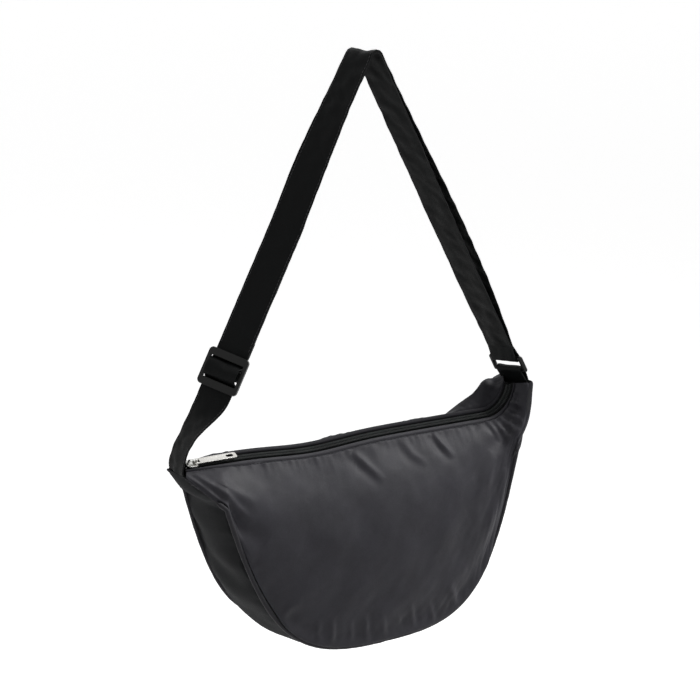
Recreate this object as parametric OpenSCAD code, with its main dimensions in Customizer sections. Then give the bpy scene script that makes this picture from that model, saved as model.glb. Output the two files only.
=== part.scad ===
// Crossbody bag with a zipped mouth, a wide bottom and one adjustable strap, hung by the strap's fold.
// +X is along the mouth, -Y is the front, +Z is up. The origin is the inside of the strap's fold.

/* [Strap] */
// Width of the strap
strap_w = 30; // [20:1:40]
// Thickness of one layer of strap
strap_t = 1.1; // [0.8:0.1:2]
// Gap left between two layers that lie on each other
layer_gap = 0.4; // [0.3:0.1:1]
// Inner radius of the fold at the top
fold_r = 4; // [2:0.5:12]
// Lean of each leg of the strap from the vertical, degrees
leg_lean = 28; // [20:1:35]
// Distance along the left leg from the fold to the middle of the adjuster
adjuster_run = 300; // [270:1:310]
// Distance along the right leg from the fold to the ring's upper bar
ring_run = 336; // [300:1:340]
// Travel of the adjuster up the strap
adjuster_travel = 100; // [40:5:110]
// Twist of the strap at the adjuster, from square to the mouth, degrees
adjuster_twist = 42; // [0:1:60]
// Twist of the strap's sewn end, degrees
sewn_twist = -6; // [-20:1:20]
// Twist of the strap at the fold, degrees
fold_twist = 16; // [0:1:40]
// Twist of the strap at the ring, degrees
ring_twist = 14; // [0:1:40]

/* [Mouth] */
// Distance from the fold down to the middle of the mouth
hang_drop = 350; // [330:1:380]
// Distance of the fold to the right of the mouth's middle
fold_shift = 9; // [0:1:20]
// Distance from the mouth's middle to the left end of the zip
zip_left = 180; // [170:1:200]
// Length of the straight part of the zip
zip_straight = 326; // [300:1:340]
// Height of the zip's left end above the mouth's middle
zip_left_z = 4; // [0:0.5:12]
// Fall of the zip towards the right, degrees
mouth_fall = 1; // [0:0.5:3]
// Tilt of the mouth towards the front, degrees
mouth_tilt = 25; // [0:1:35]
// Radius of the zip's bend up into the right corner
bend_r = 30; // [20:1:40]
// Turn of that bend, degrees
bend_turn = 88; // [60:1:90]
// Width of the folded hem beside the zip
hem_w = 8; // [6:0.5:12]

/* [Body] */
// Half of the distance between the two corners
corner_x = 184; // [175:1:200]
// Height of the right corner above the left one
corner_rise = 30; // [0:1:36]
// How far the left corner stands out past the run of its seams
corner_reach = 2.5; // [0:0.5:5]
// The same at the right corner, whose cloth is gathered
knob_reach = 5; // [0:0.5:6]
// Half of the distance between the two pinches below the corners
pinch_x = 158; // [145:1:165]
// Depth of the pinches below the left corner
pinch_z = 28; // [20:1:40]
// Height from the mouth to the bottom seam
body_h = 176; // [150:1:200]
// Width of the gusset where it would meet the corners
side_depth = 62; // [45:1:80]
// Outward bow of each seam at the middle of the bottom
depth_bow = 22; // [5:1:30]
// Outward swell of the front panel
front_swell = 20; // [5:1:30]
// Outward swell of the back panel
back_swell = 18; // [5:1:30]
// Height of the back panel's crest behind the zip's right end
crest_h = 20; // [0:1:24]
// Outward sag of the gusset at the bottom
gusset_sag = 5; // [0:0.5:10]
// Thickness of the outer fabric with its backing
cloth_t = 1.6; // [1:0.1:2.5]
// Thickness of the lining
lining_t = 0.5; // [0.3:0.1:1]
// Radius of the piping along the two seams
piping_r = 2.2; // [1.5:0.1:3]

/* [Zip] */
// Half width of the closed coils
coil_half_w = 2.9; // [2.2:0.1:3.5]
// Height of the coils above the tape
coil_h = 2.2; // [1.6:0.1:3]
// Thickness of the zip tape
tape_t = 0.6; // [0.4:0.1:1]
// Distance of the slider's middle from the zip's left end
slider_place = 8.5; // [8:0.5:12]
// Length of the slider's body
slider_l = 12; // [10:0.5:14]
// Width of the slider's body
slider_w = 9.6; // [8.6:0.2:11]
// Thickness of the slider's two plates
slider_plate_t = 1.2; // [0.9:0.1:1.6]
// Height of the crown over the slider's top plate
crown_h = 4.2; // [3.6:0.2:6]
// Length of the puller from its pivot
puller_l = 42; // [30:1:50]
// Width of the puller
puller_w = 6.6; // [6:0.1:9]
// Thickness of the puller
puller_t = 1.3; // [1:0.1:1.8]
// Travel of the slider along the straight zip
zip_travel = 290; // [200:5:300]

/* [Adjuster] */
// Width of the adjuster across the strap
adjuster_w = 38; // [34:0.5:50]
// Height of the adjuster along the strap
adjuster_h = 34; // [30:0.5:40]
// Thickness of the adjuster
adjuster_t = 4.5; // [3:0.1:6]
// Height of each end bar of the adjuster
adjuster_bar = 7; // [5:0.5:8]
// Height of the adjuster's middle bar
adjuster_mid = 7; // [5:0.5:8]
// Radius of the adjuster's corners
adjuster_corner = 4; // [2:0.5:6]
// Length of the threaded strap that lies flat above and below the adjuster
bend_flat = 5; // [4:1:10]
// Length of the sewn tail of the strap's end loop
loop_tail = 10; // [8:1:20]

/* [Ring] */
// Diameter of the ring's bars
ring_bar_d = 4.5; // [3:0.1:6]
// Distance between the middles of the ring's two long bars
ring_pitch = 13.5; // [11:0.5:20]
// Length of the strap's turn above the ring's upper bar
turn_l = 14; // [10:1:25]
// Length of the sewn tab below the ring's lower bar
tab_l = 6.5; // [5:0.5:8]

/* [Hidden] */

// Clearance between pieces that lie on each other
seat = 0.3;
// Running clearance of a round bar in a sewn roll
running = 0.3;
// Gap between two lengths of one strap that meet end to end
butt = 0.03;
// Overrun of every cut
cut = 1;
// Side clearance of the strap in the adjuster and the ring
strap_side = 0.8;
// Gap from the coils to the hem's fold on each side
fold_gap = slider_w / 2 + seat;
round_fn = 48;

body_cols = 26;
corner_cols = 6;
panel_rows = 11;
gusset_rows = 6;
piping_sides = 8;
fold_steps = 10;
leg_steps = 12;

// Shares of the half seam, the corner and the body height that shape the seam
pinch_share = 0.16;
seam_side_share = [0.655, 0.905];
seam_base_share = [0.5, 1.012];
swell_share = 0.62;
tuck_share = 1.5;
crest_from_share = 0.74;
crest_top_share = 0.72;
crest_end_share = 0.15;
crest_rows_share = 0.3;
crest_spread_share = 0.6;
corner_hem_share = 0.25;
lower_bend_share = [0.38, 0.28];
lower_twist_share = 0.35;
sewn_end_share = 0.32;

// Vector helpers
function mix(a, b, t) = a + (b - a) * t;
function unit(v) = v / norm(v);
function reversed(list) = [for (k = [len(list) - 1:-1:0]) list[k]];
function clamp01(t) = min(max(t, 0), 1);
function smooth(t) = let (c = clamp01(t)) c * c * (3 - 2 * c);
function bezier(p, q, r, s, t) =
    pow(1 - t, 3) * p + 3 * pow(1 - t, 2) * t * q + 3 * (1 - t) * t * t * r + pow(t, 3) * s;

// Turns a piece drawn on its own axes so that they lie along x, y and z
module set_on(place, x, y, z) {
    translate(place)
        rotate([atan2(y[2], z[2]), -asin(x[2]), atan2(x[1], x[0])])
            children();
}

// A closed solid through a list of rings with the same number of points
module loft(rings) {
    n = len(rings[0]);
    last = len(rings) - 1;
    polyhedron(
        points = [for (ring = rings) for (p = ring) p],
        faces = concat(
            end_faces(n, 0, false),
            [for (k = [0:last - 1]) for (i = [0:n - 1]) for (half = [0, 1])
                half == 0
                    ? [k * n + i, (k + 1) * n + i, (k + 1) * n + (i + 1) % n]
                    : [k * n + i, (k + 1) * n + (i + 1) % n, k * n + (i + 1) % n]],
            end_faces(n, last * n, true)),
        convexity = 10);
}

// The triangles that close an end of a loft, each from one side of its ring to the other
function end_faces(n, first, far) =
    [for (i = [0:floor(n / 2) - 1])
        for (face = [[i, i + 1, n - 1 - i], [i + 1, n - 2 - i, n - 1 - i]])
            if (face[0] < face[1] && face[1] < face[2])
                [for (k = [0:2]) first + face[far ? 2 - k : k]]];

// The mouth: the zip's line, its heading and the two directions of its tilted plane
zip_start = [-zip_left, 0, zip_left_z];
zip_len = zip_straight + bend_r * bend_turn * PI / 180;
function along(h) = [cos(h), 0, sin(h)];
function above(h) = [-sin(h), 0, cos(h)];
function zip_heading(a) =
    -mouth_fall + max(0, a - zip_straight) / bend_r * 180 / PI;
bend_middle = zip_start + zip_straight * along(-mouth_fall) + bend_r * above(-mouth_fall);
function zip_at(a) =
    a <= zip_straight
        ? zip_start + a * along(-mouth_fall)
        : bend_middle - bend_r * above(zip_heading(a));
function mouth_out(h, side) = side * (cos(mouth_tilt) * [0, 1, 0] + sin(mouth_tilt) * above(h));
function mouth_up(h) = cos(mouth_tilt) * above(h) - sin(mouth_tilt) * [0, 1, 0];
function mouth_at(a, out, up) =
    let (h = zip_heading(a)) zip_at(a) + out * mouth_out(h, 1) + up * mouth_up(h);

// Places along the seam, closer together where the right corner turns up
pinch_at = pinch_share / 2;
turn_at = zip_straight / zip_len;
seam_shares = concat([0, pinch_at / 2],
    [for (k = [0:body_cols]) mix(pinch_at, turn_at, k / body_cols)],
    [for (k = [1:corner_cols / 2]) mix(turn_at, 1 - pinch_at, 2 * k / corner_cols)],
    [for (k = [1:corner_cols]) mix(1 - pinch_at, 1, k / corner_cols)]);
inner_shares = [for (k = [4:len(seam_shares) - corner_cols - 3]) seam_shares[k]];

// The seam that joins a panel to the gusset: side -1 is the front, 1 the back; s runs from left to right
function bow_depth(x) = side_depth / 2 + depth_bow * (1 - pow(x / corner_x, 2));
function half_seam(h) =
    h < pinch_share
        ? let (t = h / pinch_share)
            [mix(corner_x, pinch_x, t), mix(strap_w / 2, bow_depth(pinch_x), t), -pinch_z * t]
        : let (t = (h - pinch_share) / (1 - pinch_share),
               p = bezier([pinch_x, -pinch_z],
                   [corner_x * seam_side_share[0], -body_h * seam_side_share[1]],
                   [corner_x * seam_base_share[0], -body_h * seam_base_share[1]],
                   [0, -body_h], t))
            [p[0], bow_depth(p[0]), p[1]];
function seam(s, side) =
    let (h = 1 - abs(2 * s - 1), p = half_seam(h), right = s > 0.5,
         reach = (right ? knob_reach : corner_reach) * (1 - pow(min(h / pinch_share, 1), 2)))
        [(right ? 1 : -1) * (p[0] + reach), side * (p[1] + reach / 2),
         p[2] + (right ? corner_rise * (1 - smooth(h / pinch_share)) : 0)];
function seam_run(s, side) =
    let (d = 0.004) unit(seam(min(s + d, 1), side) - seam(max(s - d, 0), side));
function seam_out(s) =
    let (r = seam_run(s, 1)) unit([r[2], 0, -r[0]]);

// Outer surface of a panel at share s along it and row v down it, where v below 0 is the hem
function panel_edge(s, side) =
    let (p = seam(s, side), r = seam_run(s, side), inwards = panel_hem(s, side, 1) - p,
         turned = smooth((s - turn_at) / (1 - turn_at)),
         margin = piping_r + 5 * seat - seat * smooth(s / pinch_share) + cloth_t * turned)
        p + margin * unit(inwards - (inwards * r) * r) + [0, side * cloth_t / 2, 0]
            - tuck_share * cloth_t * turned * seam_out(s);
function hem_at(s) =
    hem_w * mix(corner_hem_share, 1, smooth(min(s, 1 - s) / pinch_share));
function panel_hem(s, side, t) =
    let (h = zip_heading(s * zip_len))
        zip_at(s * zip_len) + (fold_gap + t * hem_at(s)) * mouth_out(h, side)
            + (seat + cloth_t) * mouth_up(h);
function crest(s, v) =
    let (t = clamp01((s - crest_from_share) / (1 - crest_from_share)),
         rows = mix(crest_rows_share, 1, smooth((t - crest_spread_share) / (1 - crest_spread_share))),
         fall = smooth((t - crest_top_share) / (1 - crest_top_share)))
        crest_h * pow(sin(90 * clamp01(t / crest_top_share)), 1.5) * mix(1, crest_end_share, fall)
            * sin(180 * clamp01(v / rows));
function panel_at(s, side, v) =
    v <= 0
        ? panel_hem(s, side, 1 + v)
        : mix(panel_hem(s, side, 1), panel_edge(s, side), v)
            + [0, side * (side < 0 ? front_swell : back_swell)
                * pow(sin(180 * clamp01(s)), 0.6) * sin(180 * pow(v, swell_share)),
               side > 0 ? crest(s, v) : 0];
function panel_out(s, side, v) =
    let (d = 0.01,
         along_s = panel_at(min(s + d, 1), side, v) - panel_at(max(s - d, 0), side, v),
         down = panel_at(s, side, min(v + d, 1)) - panel_at(s, side, max(v - d, -1)))
        side * unit(cross(along_s, down));

// A curved sheet between two depths under a surface, from its points and outward directions
module sheet(points, outs, near, far) {
    rows = len(points[0]);
    loft([for (k = [0:len(points) - 1])
        concat(
            [for (j = [0:rows - 1]) points[k][j] - near * outs[k][j]],
            [for (j = [rows - 1:-1:0]) points[k][j] - far * outs[k][j]])]);
}

// Rows of a panel: the hem first, then down to the seam
function panel_row_list(rows) = concat([-1, 0], [for (j = [1:rows]) j / rows]);

module panel(side) {
    rows = panel_row_list(panel_rows);
    shares = side < 0 ? reversed(seam_shares) : seam_shares;
    sheet([for (s = shares) [for (v = rows) panel_at(s, side, v)]],
        [for (s = shares) [for (v = rows) panel_out(s, side, v)]], 0, cloth_t);
}

module lining_panel(side) {
    shares = side < 0 ? reversed(inner_shares) : inner_shares;
    rows = [for (j = [2:panel_rows - 1]) j / panel_rows];
    near = cloth_t + 2 * seat;
    sheet([for (s = shares) [for (v = rows) panel_at(s, side, v)]],
        [for (s = shares) [for (v = rows) panel_out(s, side, v)]], near, near + lining_t);
}

module front_panel() {
    color([0.23, 0.22, 0.25]) panel(-1);
}

module back_panel() {
    color([0.21, 0.2, 0.23]) panel(1);
}

// The gusset, one long strip from corner to corner
function gusset_at(s, w, margin) =
    let (f = seam(s, -1), b = seam(s, 1), half = norm(b - f) / 2, r = 1 - margin / half,
         h = 1 - abs(2 * s - 1),
         sag = h < pinch_share ? 0 : gusset_sag * sin(90 * (h - pinch_share) / (1 - pinch_share)))
        mix(f, b, (1 + w * r) / 2) + (cloth_t / 2 + sag * (1 - w * w)) * seam_out(s);

module gusset_strip(shares, margin, near, far) {
    across = [for (j = [0:gusset_rows]) 1 - 2 * j / gusset_rows];
    sheet([for (s = shares) [for (w = across) gusset_at(s, w, margin)]],
        [for (s = shares) [for (w = across) seam_out(s)]], near, far);
}

module gusset() {
    color([0.17, 0.16, 0.18])
        gusset_strip(seam_shares, piping_r + seat, 0, cloth_t);
}

// Piping: a round cord in its cover, along the seam
module piping(side) {
    loft([for (s = seam_shares)
        let (o = seam_out(s))
        [for (i = [0:piping_sides - 1])
            let (a = 360 * i / piping_sides)
            seam(s, side) + piping_r * (cos(a) * o + sin(a) * [0, 1, 0])]]);
}

module front_piping() {
    color([0.1, 0.1, 0.11]) piping(-1);
}

module back_piping() {
    color([0.1, 0.1, 0.11]) piping(1);
}

module lining_front() {
    color([0.12, 0.12, 0.13]) lining_panel(-1);
}

module lining_back() {
    color([0.12, 0.12, 0.13]) lining_panel(1);
}

module lining_gusset() {
    color([0.12, 0.12, 0.13])
        gusset_strip(inner_shares, 3 * piping_r, cloth_t + seat, cloth_t + seat + lining_t);
}

// Zip: two tapes with a coil each
tape_inner = coil_half_w / 2;
coil_start = slider_place + seat;
function tape_outer(s) = fold_gap + hem_at(s) - corner_hem_share * hem_w;

module zip_tape(side) {
    loft([for (s = seam_shares)
        let (a = s * zip_len, outer = side * tape_outer(s), inner = side * tape_inner)
            [mouth_at(a, inner, 0), mouth_at(a, outer, 0),
             mouth_at(a, outer, -tape_t), mouth_at(a, inner, -tape_t)]]);
}

module zip_coil(side) {
    shoulder = coil_h / 3;
    base = seat;
    gap = seat / 2;
    places = [for (s = seam_shares) if (s * zip_len > coil_start) s * zip_len];
    loft([for (a = concat([coil_start], places))
        [mouth_at(a, side * gap, base), mouth_at(a, side * gap, coil_h),
         mouth_at(a, side * (coil_half_w - shoulder), coil_h),
         mouth_at(a, side * coil_half_w, coil_h - shoulder),
         mouth_at(a, side * coil_half_w, base)]]);
}

module zip_tape_front() {
    color([0.07, 0.08, 0.08]) zip_tape(-1);
}

module zip_tape_back() {
    color([0.07, 0.08, 0.08]) zip_tape(1);
}

module zip_coil_front() {
    color([0.05, 0.06, 0.06]) zip_coil(-1);
}

module zip_coil_back() {
    color([0.05, 0.06, 0.06]) zip_coil(1);
}

// Slider parts, drawn with x along the zip, y across it and z away from the tape
slider_top = coil_h + 2 * seat;
slider_under = -tape_t - 2 * seat;
flange_t = slider_w / 2 - coil_half_w - 2 * seat;
nose_w = tape_inner;
crown_w = 2.4;
crown_l = 9;
crown_t = 1.3;
pivot_x = crown_l / 2 - crown_t - puller_t;
pivot_z = slider_top + slider_plate_t + puller_t / 2 + seat;
slot_gap = 0.5;
puller_slot_l = crown_l / 2 + crown_t - pivot_x + slot_gap;
puller_slot_w = crown_w + 2 * slot_gap;
puller_eye_l = 7;

module on_slider() {
    h = -mouth_fall;
    set_on(zip_at(slider_place), along(h), mouth_out(h, 1), mouth_up(h)) children();
}

module slider_outline() {
    square([slider_l - slider_w / 2, slider_w - 2 * seat], center = true);
    for (end = [-1, 1])
        translate([end * (slider_l - slider_w) / 2, 0])
            circle(d = slider_w, $fn = round_fn);
}

module zip_slider() {
    color([0.75, 0.76, 0.77])
        on_slider()
            difference() {
                union() {
                    translate([0, 0, slider_under - slider_plate_t])
                        linear_extrude(slider_top - slider_under + 2 * slider_plate_t)
                            slider_outline();
                }
                // The channel that holds the coils, and the slit on each side that the tapes pass through
                difference() {
                    translate([-slider_l / 2 - cut, -slider_w / 2 + flange_t, slider_under])
                        cube([slider_l + 2 * cut, slider_w - 2 * flange_t, slider_top - slider_under]);
                    translate([-slider_l / 2 + nose_w, 0, slider_under - cut])
                        cylinder(d = nose_w, h = slider_top - slider_under + 2 * cut, $fn = round_fn);
                }
                translate([-slider_l / 2 - cut, -slider_w / 2 - cut, slider_under])
                    cube([slider_l + 2 * cut, slider_w / 2 + cut - nose_w / 2 - seat,
                        -slider_under + seat]);
                translate([-slider_l / 2 - cut, nose_w / 2 + seat, slider_under])
                    cube([slider_l + 2 * cut, slider_w / 2 + cut - nose_w / 2 - seat,
                        -slider_under + seat]);
            }
}

// The crown is an arch over the top plate that the puller hangs from
module zip_crown() {
    color([0.72, 0.73, 0.74])
        on_slider()
            translate([0, crown_w / 2, slider_top + slider_plate_t])
                rotate([90, 0, 0])
                    linear_extrude(crown_w)
                        difference() {
                            crown_profile(crown_l / 2, crown_h);
                            crown_profile(crown_l / 2 - crown_t, crown_h - crown_t);
                        }
}

module crown_profile(half, high) {
    corner = high / 3;
    translate([-half, 0]) square([2 * half, high - corner]);
    translate([corner - half, 0]) square([2 * (half - corner), high]);
    for (end = [-1, 1])
        translate([end * (half - corner), high - corner])
            circle(r = corner, $fn = round_fn);
}

module zip_puller() {
    color([0.8, 0.81, 0.82])
        on_slider()
            translate([pivot_x, 0, pivot_z]) {
                rotate([90, 0, 0])
                    cylinder(d = puller_t, h = puller_slot_w + 2 * slot_gap, center = true, $fn = round_fn);
                translate([0, 0, -puller_t / 2])
                    linear_extrude(puller_t)
                        difference() {
                            puller_outline();
                            translate([puller_t / 2, -puller_slot_w / 2])
                                square([puller_slot_l, puller_slot_w]);
                            puller_eye();
                        }
            }
}

module puller_outline() {
    end_r = puller_w / 4;
    square([puller_l - end_r, puller_w / 2]);
    translate([0, -puller_w / 2]) square([puller_l - end_r, puller_w]);
    translate([0, -puller_w / 2 + end_r]) square([puller_l, puller_w - 2 * end_r]);
    for (side = [-1, 1])
        translate([puller_l - end_r, side * (puller_w / 2 - end_r)])
            circle(r = end_r, $fn = round_fn);
}

module puller_eye() {
    eye_r = puller_w / 4;
    at = puller_l - puller_eye_l / 2 - 2 * eye_r;
    translate([at, 0]) square([puller_eye_l - 2 * eye_r, 2 * eye_r], center = true);
    for (end = [-1, 1])
        translate([at + end * (puller_eye_l / 2 - eye_r), 0])
            circle(r = eye_r, $fn = round_fn);
}

// Strap: legs on both sides of a fold, seen in the frame of the fold's middle
fold_middle = [0, 0, -fold_r];
layer_pitch = strap_t + layer_gap;
bundle_r = fold_r + (strap_t + layer_pitch) / 2;
// The two layers, as offsets from the middle of the pair
inner_layer = -layer_pitch / 2;
outer_layer = layer_pitch / 2;
fold_half = 90 - leg_lean;
function leg_out(side) = [side * cos(leg_lean), 0, sin(leg_lean)];
function leg_down(side) = [side * sin(leg_lean), 0, -cos(leg_lean)];

// A station has a place, the strap's running direction and its twist. d is the distance from the fold,
// below zero on the left leg and above zero on the right.
function leg_station(d, layer) =
    let (side = d < 0 ? -1 : 1, run = side * leg_down(side), twist = leg_twist(d))
        [fold_middle + bundle_r * leg_out(side) + abs(d) * leg_down(side)
            + layer * strap_out(run, twist), run, twist];
function fold_station(turn, layer) =
    let (run = [cos(turn), 0, -sin(turn)])
        [fold_middle + bundle_r * [sin(turn), 0, cos(turn)] + layer * strap_out(run, fold_twist),
         run, fold_twist];
bend_reach = adjuster_h / 2 + bend_flat;
loop_top = bend_reach + loop_tail;
slide_top = adjuster_run - adjuster_travel - loop_top - bend_flat;
slide_low = adjuster_run - bend_reach - butt;
function leg_twist(d) =
    d < 0
        ? mix(fold_twist, adjuster_twist, smooth(-d / slide_top))
        : mix(fold_twist, ring_twist, smooth(d / ring_run));
function across(run, twist) =
    let (w = [sin(twist), -cos(twist), 0]) unit(w - (w * run) * run);
function strap_ring(st, half_w, half_t) =
    let (w = across(st[1], st[2]), o = cross(w, st[1]))
        [st[0] - half_w * w - half_t * o, st[0] + half_w * w - half_t * o,
         st[0] + half_w * w + half_t * o, st[0] - half_w * w + half_t * o];
function strap_out(run, twist) = cross(across(run, twist), run);
module strap_through(stations) {
    loft([for (st = stations) strap_ring(st, strap_w / 2, strap_t / 2)]);
}

// The threaded bend and the end loop are drawn on the adjuster's own axes:
// x across the strap, y up it and z away from the wearer
slot_h = (adjuster_h - 2 * adjuster_bar - adjuster_mid) / 2;
bar_edge = adjuster_mid / 2 + slot_h;
behind = -adjuster_t / 2 - strap_t / 2 - layer_gap;
loop_y = adjuster_mid / 2 + seat + strap_t / 2;
loop_z = adjuster_t / 2 + seat + strap_t / 2;
front_z = loop_z + strap_t + seat;
corner_cut = strap_t;
loop_cut = strap_t / 2;
slot_mid = (loop_y + strap_t / 2 + bar_edge) / 2;
adjuster_at = leg_station(-adjuster_run, outer_layer);
adjuster_across = across(adjuster_at[1], adjuster_at[2]);
adjuster_out = cross(adjuster_across, adjuster_at[1]);

module on_adjuster() {
    set_on(adjuster_at[0] - behind * adjuster_out, adjuster_across, adjuster_at[1], adjuster_out)
        children();
}

// A strip of strap that follows points [y, z] on the adjuster's axes
module strap_path(path) {
    last = len(path) - 1;
    loft([for (k = [0:last])
        let (before = k == 0 ? path[1] - path[0] : path[k] - path[k - 1],
             after = k == last ? before : path[k + 1] - path[k],
             run = unit(unit(before) + unit(after)),
             widen = 1 / max(0.5, run * unit(after)),
             o = [-run[1], run[0]] * strap_t / 2 * widen,
             p = path[k])
        [[-strap_w / 2, p[0] - o[0], p[1] - o[1]], [strap_w / 2, p[0] - o[0], p[1] - o[1]],
         [strap_w / 2, p[0] + o[0], p[1] + o[1]], [-strap_w / 2, p[0] + o[0], p[1] + o[1]]]]);
}

bend_half = [[bend_reach, behind], [bar_edge + corner_cut, behind],
    [bar_edge - corner_cut, behind + layer_gap / 2], [slot_mid + corner_cut / 4, behind / 2],
    [slot_mid, 0], [slot_mid - corner_cut / 4, front_z / 2],
    [loop_y + corner_cut, front_z - corner_cut / 4], [loop_y, front_z]];
bend_path = concat([for (p = bend_half) [-p[0], p[1]]], reversed(bend_half));
loop_path = [[loop_top, behind - 2 * layer_pitch], [slot_mid, behind - 2 * layer_pitch],
    [loop_y - loop_cut, -loop_z], [-loop_y + loop_cut, -loop_z], [-loop_y, -loop_z + loop_cut],
    [-loop_y, loop_z - loop_cut], [-loop_y + loop_cut, loop_z],
    [loop_y - loop_cut, loop_z], [loop_y, loop_z - loop_cut],
    [loop_y, -loop_z + 3 * loop_cut], [slot_mid, behind - layer_pitch + layer_gap],
    [bar_edge, behind - layer_pitch], [bend_reach, behind - layer_pitch]];

module strap_threaded_bend() {
    color([0.07, 0.07, 0.08]) on_adjuster() strap_path(bend_path);
}

module strap_end_loop() {
    color([0.07, 0.07, 0.08]) on_adjuster() strap_path(loop_path);
}

module adjuster() {
    slot_w = strap_w + 2 * strap_side;
    color([0.05, 0.05, 0.05])
        on_adjuster()
            translate([0, 0, -adjuster_t / 2])
                linear_extrude(adjuster_t)
                    difference() {
                        adjuster_outline();
                        for (side = [-1, 1])
                            translate([0, side * (adjuster_mid + slot_h) / 2])
                                square([slot_w, slot_h], center = true);
                    }
}

module adjuster_outline() {
    square([adjuster_w, adjuster_h - 2 * adjuster_corner], center = true);
    square([adjuster_w - 2 * adjuster_corner, adjuster_h], center = true);
    for (x = [-1, 1], y = [-1, 1])
        translate([x * (adjuster_w / 2 - adjuster_corner), y * (adjuster_h / 2 - adjuster_corner)])
            circle(r = adjuster_corner, $fn = round_fn);
}

module strap_outer_slide() {
    color([0.07, 0.07, 0.08])
        strap_through([for (k = [0:leg_steps])
            leg_station(-mix(slide_low, slide_top + butt, k / leg_steps), outer_layer)]);
}

module strap_inner_slide() {
    color([0.07, 0.07, 0.08])
        strap_through([for (k = [0:leg_steps])
            leg_station(-mix(slide_low, slide_top + butt, k / leg_steps), inner_layer)]);
}

module strap_over_fold(layer) {
    ring_top = ring_run - turn_l;
    strap_through(concat(
        [for (k = [leg_steps:-1:0]) leg_station(-max(slide_top * k / leg_steps, butt), layer)],
        [for (k = [1:fold_steps - 1]) fold_station(mix(-fold_half, fold_half, k / fold_steps), layer)],
        [for (k = [0:leg_steps]) leg_station(max(ring_top * k / leg_steps, butt), layer)]));
}

module strap_outer_run() {
    color([0.07, 0.07, 0.08]) strap_over_fold(outer_layer);
}

module strap_inner_run() {
    color([0.07, 0.07, 0.08]) strap_over_fold(inner_layer);
}

// Lower run: from the left corner up to the adjuster, one bend that also twists
mouth_place = [-fold_shift, 0, -hang_drop];
sewn_point = mouth_place + [-corner_x - corner_reach, 0, piping_r - 2 * seat];
lower_top = leg_station(-adjuster_run - bend_reach - butt, outer_layer);
lower_len = norm(lower_top[0] - sewn_point);
function lower_at(t) =
    bezier(sewn_point, sewn_point + [0, 0, lower_bend_share[0] * lower_len],
        lower_top[0] - lower_bend_share[1] * lower_len * lower_top[1], lower_top[0], t);
function lower_station(t) =
    let (d = 0.001)
        [lower_at(t), t >= 1 ? lower_top[1] : unit(lower_at(t + d) - lower_at(max(t - d, 0))),
         mix(sewn_twist, adjuster_twist, smooth((t - lower_twist_share) / (1 - lower_twist_share)))];

module strap_sewn_end() {
    color([0.07, 0.07, 0.08])
        strap_through([for (k = [0:leg_steps / 2]) lower_station(sewn_end_share * 2 * k / leg_steps)]);
}

module strap_lower_run() {
    color([0.07, 0.07, 0.08])
        strap_through([for (k = [0:leg_steps])
            lower_station(mix(sewn_end_share, 1, k / leg_steps) + (k == 0 ? butt / lower_len : 0))]);
}

// Ring, its sewn tab and the strap's turn: x across the strap, y up it, z outwards
ring_at = leg_station(ring_run, 0);
ring_across = across(-ring_at[1], ring_twist);
ring_out = cross(ring_across, -ring_at[1]);
ring_inner_w = strap_w + 2 * strap_side;
ring_r = ring_bar_d / 2;

module on_ring() {
    set_on(ring_at[0], ring_across, -ring_at[1], cross(ring_across, -ring_at[1])) children();
}

module ring_bar(length) {
    rotate([0, 90, 0]) cylinder(r = ring_r, h = length, center = true, $fn = round_fn);
}

module ring() {
    half = ring_inner_w / 2 + ring_r;
    color([0.06, 0.06, 0.06])
        on_ring() {
            for (y = [0, -ring_pitch])
                translate([0, y, 0]) ring_bar(2 * half);
            for (x = [-half, half]) {
                translate([x, 0, 0])
                    rotate([90, 0, 0]) cylinder(r = ring_r, h = ring_pitch, $fn = round_fn);
                for (y = [0, -ring_pitch])
                    translate([x, y, 0]) sphere(r = ring_r, $fn = round_fn);
            }
        }
}

module rolled_sheet(roll_r, length, up) {
    outside = roll_r + strap_t + cut;
    foot = butt;
    rotate([0, 90, 0])
        difference() {
            cylinder(r = roll_r + strap_t, h = strap_w, center = true, $fn = round_fn);
            cylinder(r = roll_r, h = strap_w + 2 * cut, center = true, $fn = round_fn);
            translate([-outside, up ? 0 : -outside, -strap_w / 2 - cut])
                cube([2 * outside, outside, strap_w + 2 * cut]);
        }
    for (side = [-1, 1])
        hull() {
            translate([-strap_w / 2, up ? -foot : 0, side > 0 ? roll_r : -roll_r - strap_t])
                cube([strap_w, foot, strap_t]);
            translate([-strap_w / 2, up ? length - foot : -length,
                side > 0 ? layer_gap / 2 : -layer_gap / 2 - strap_t])
                cube([strap_w, foot, strap_t]);
        }
}

module strap_ring_turn() {
    color([0.07, 0.07, 0.08]) on_ring() rolled_sheet(ring_r + running, turn_l - seat, true);
}

module ring_tab() {
    color([0.07, 0.07, 0.08])
        on_ring() translate([0, -ring_pitch, 0]) rolled_sheet(ring_r + running, tab_l, false);
}

module at_mouth() {
    translate(mouth_place) children();
}

at_mouth() front_panel();
at_mouth() back_panel();
at_mouth() gusset();
at_mouth() front_piping();
at_mouth() back_piping();
at_mouth() lining_front();
at_mouth() lining_back();
at_mouth() lining_gusset();
at_mouth() zip_tape_front();
at_mouth() zip_tape_back();
at_mouth() zip_coil_front();
at_mouth() zip_coil_back();
at_mouth() zip_slider();
at_mouth() zip_crown();
at_mouth() zip_puller();
strap_sewn_end();
strap_lower_run();
strap_threaded_bend();
strap_end_loop();
strap_outer_slide();
strap_inner_slide();
strap_outer_run();
strap_inner_run();
strap_ring_turn();
adjuster();
ring();
ring_tab();
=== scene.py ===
"""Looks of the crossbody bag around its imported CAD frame.

Lengths are in millimetres on the bag's own axes, the ones that the part's source draws on, and turn
into metres in the row's frame when a mesh is made.
"""

from math import cos, pi, radians, sin

import bmesh
import bpy
import numpy as np
from mathutils import Matrix, Vector


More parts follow.
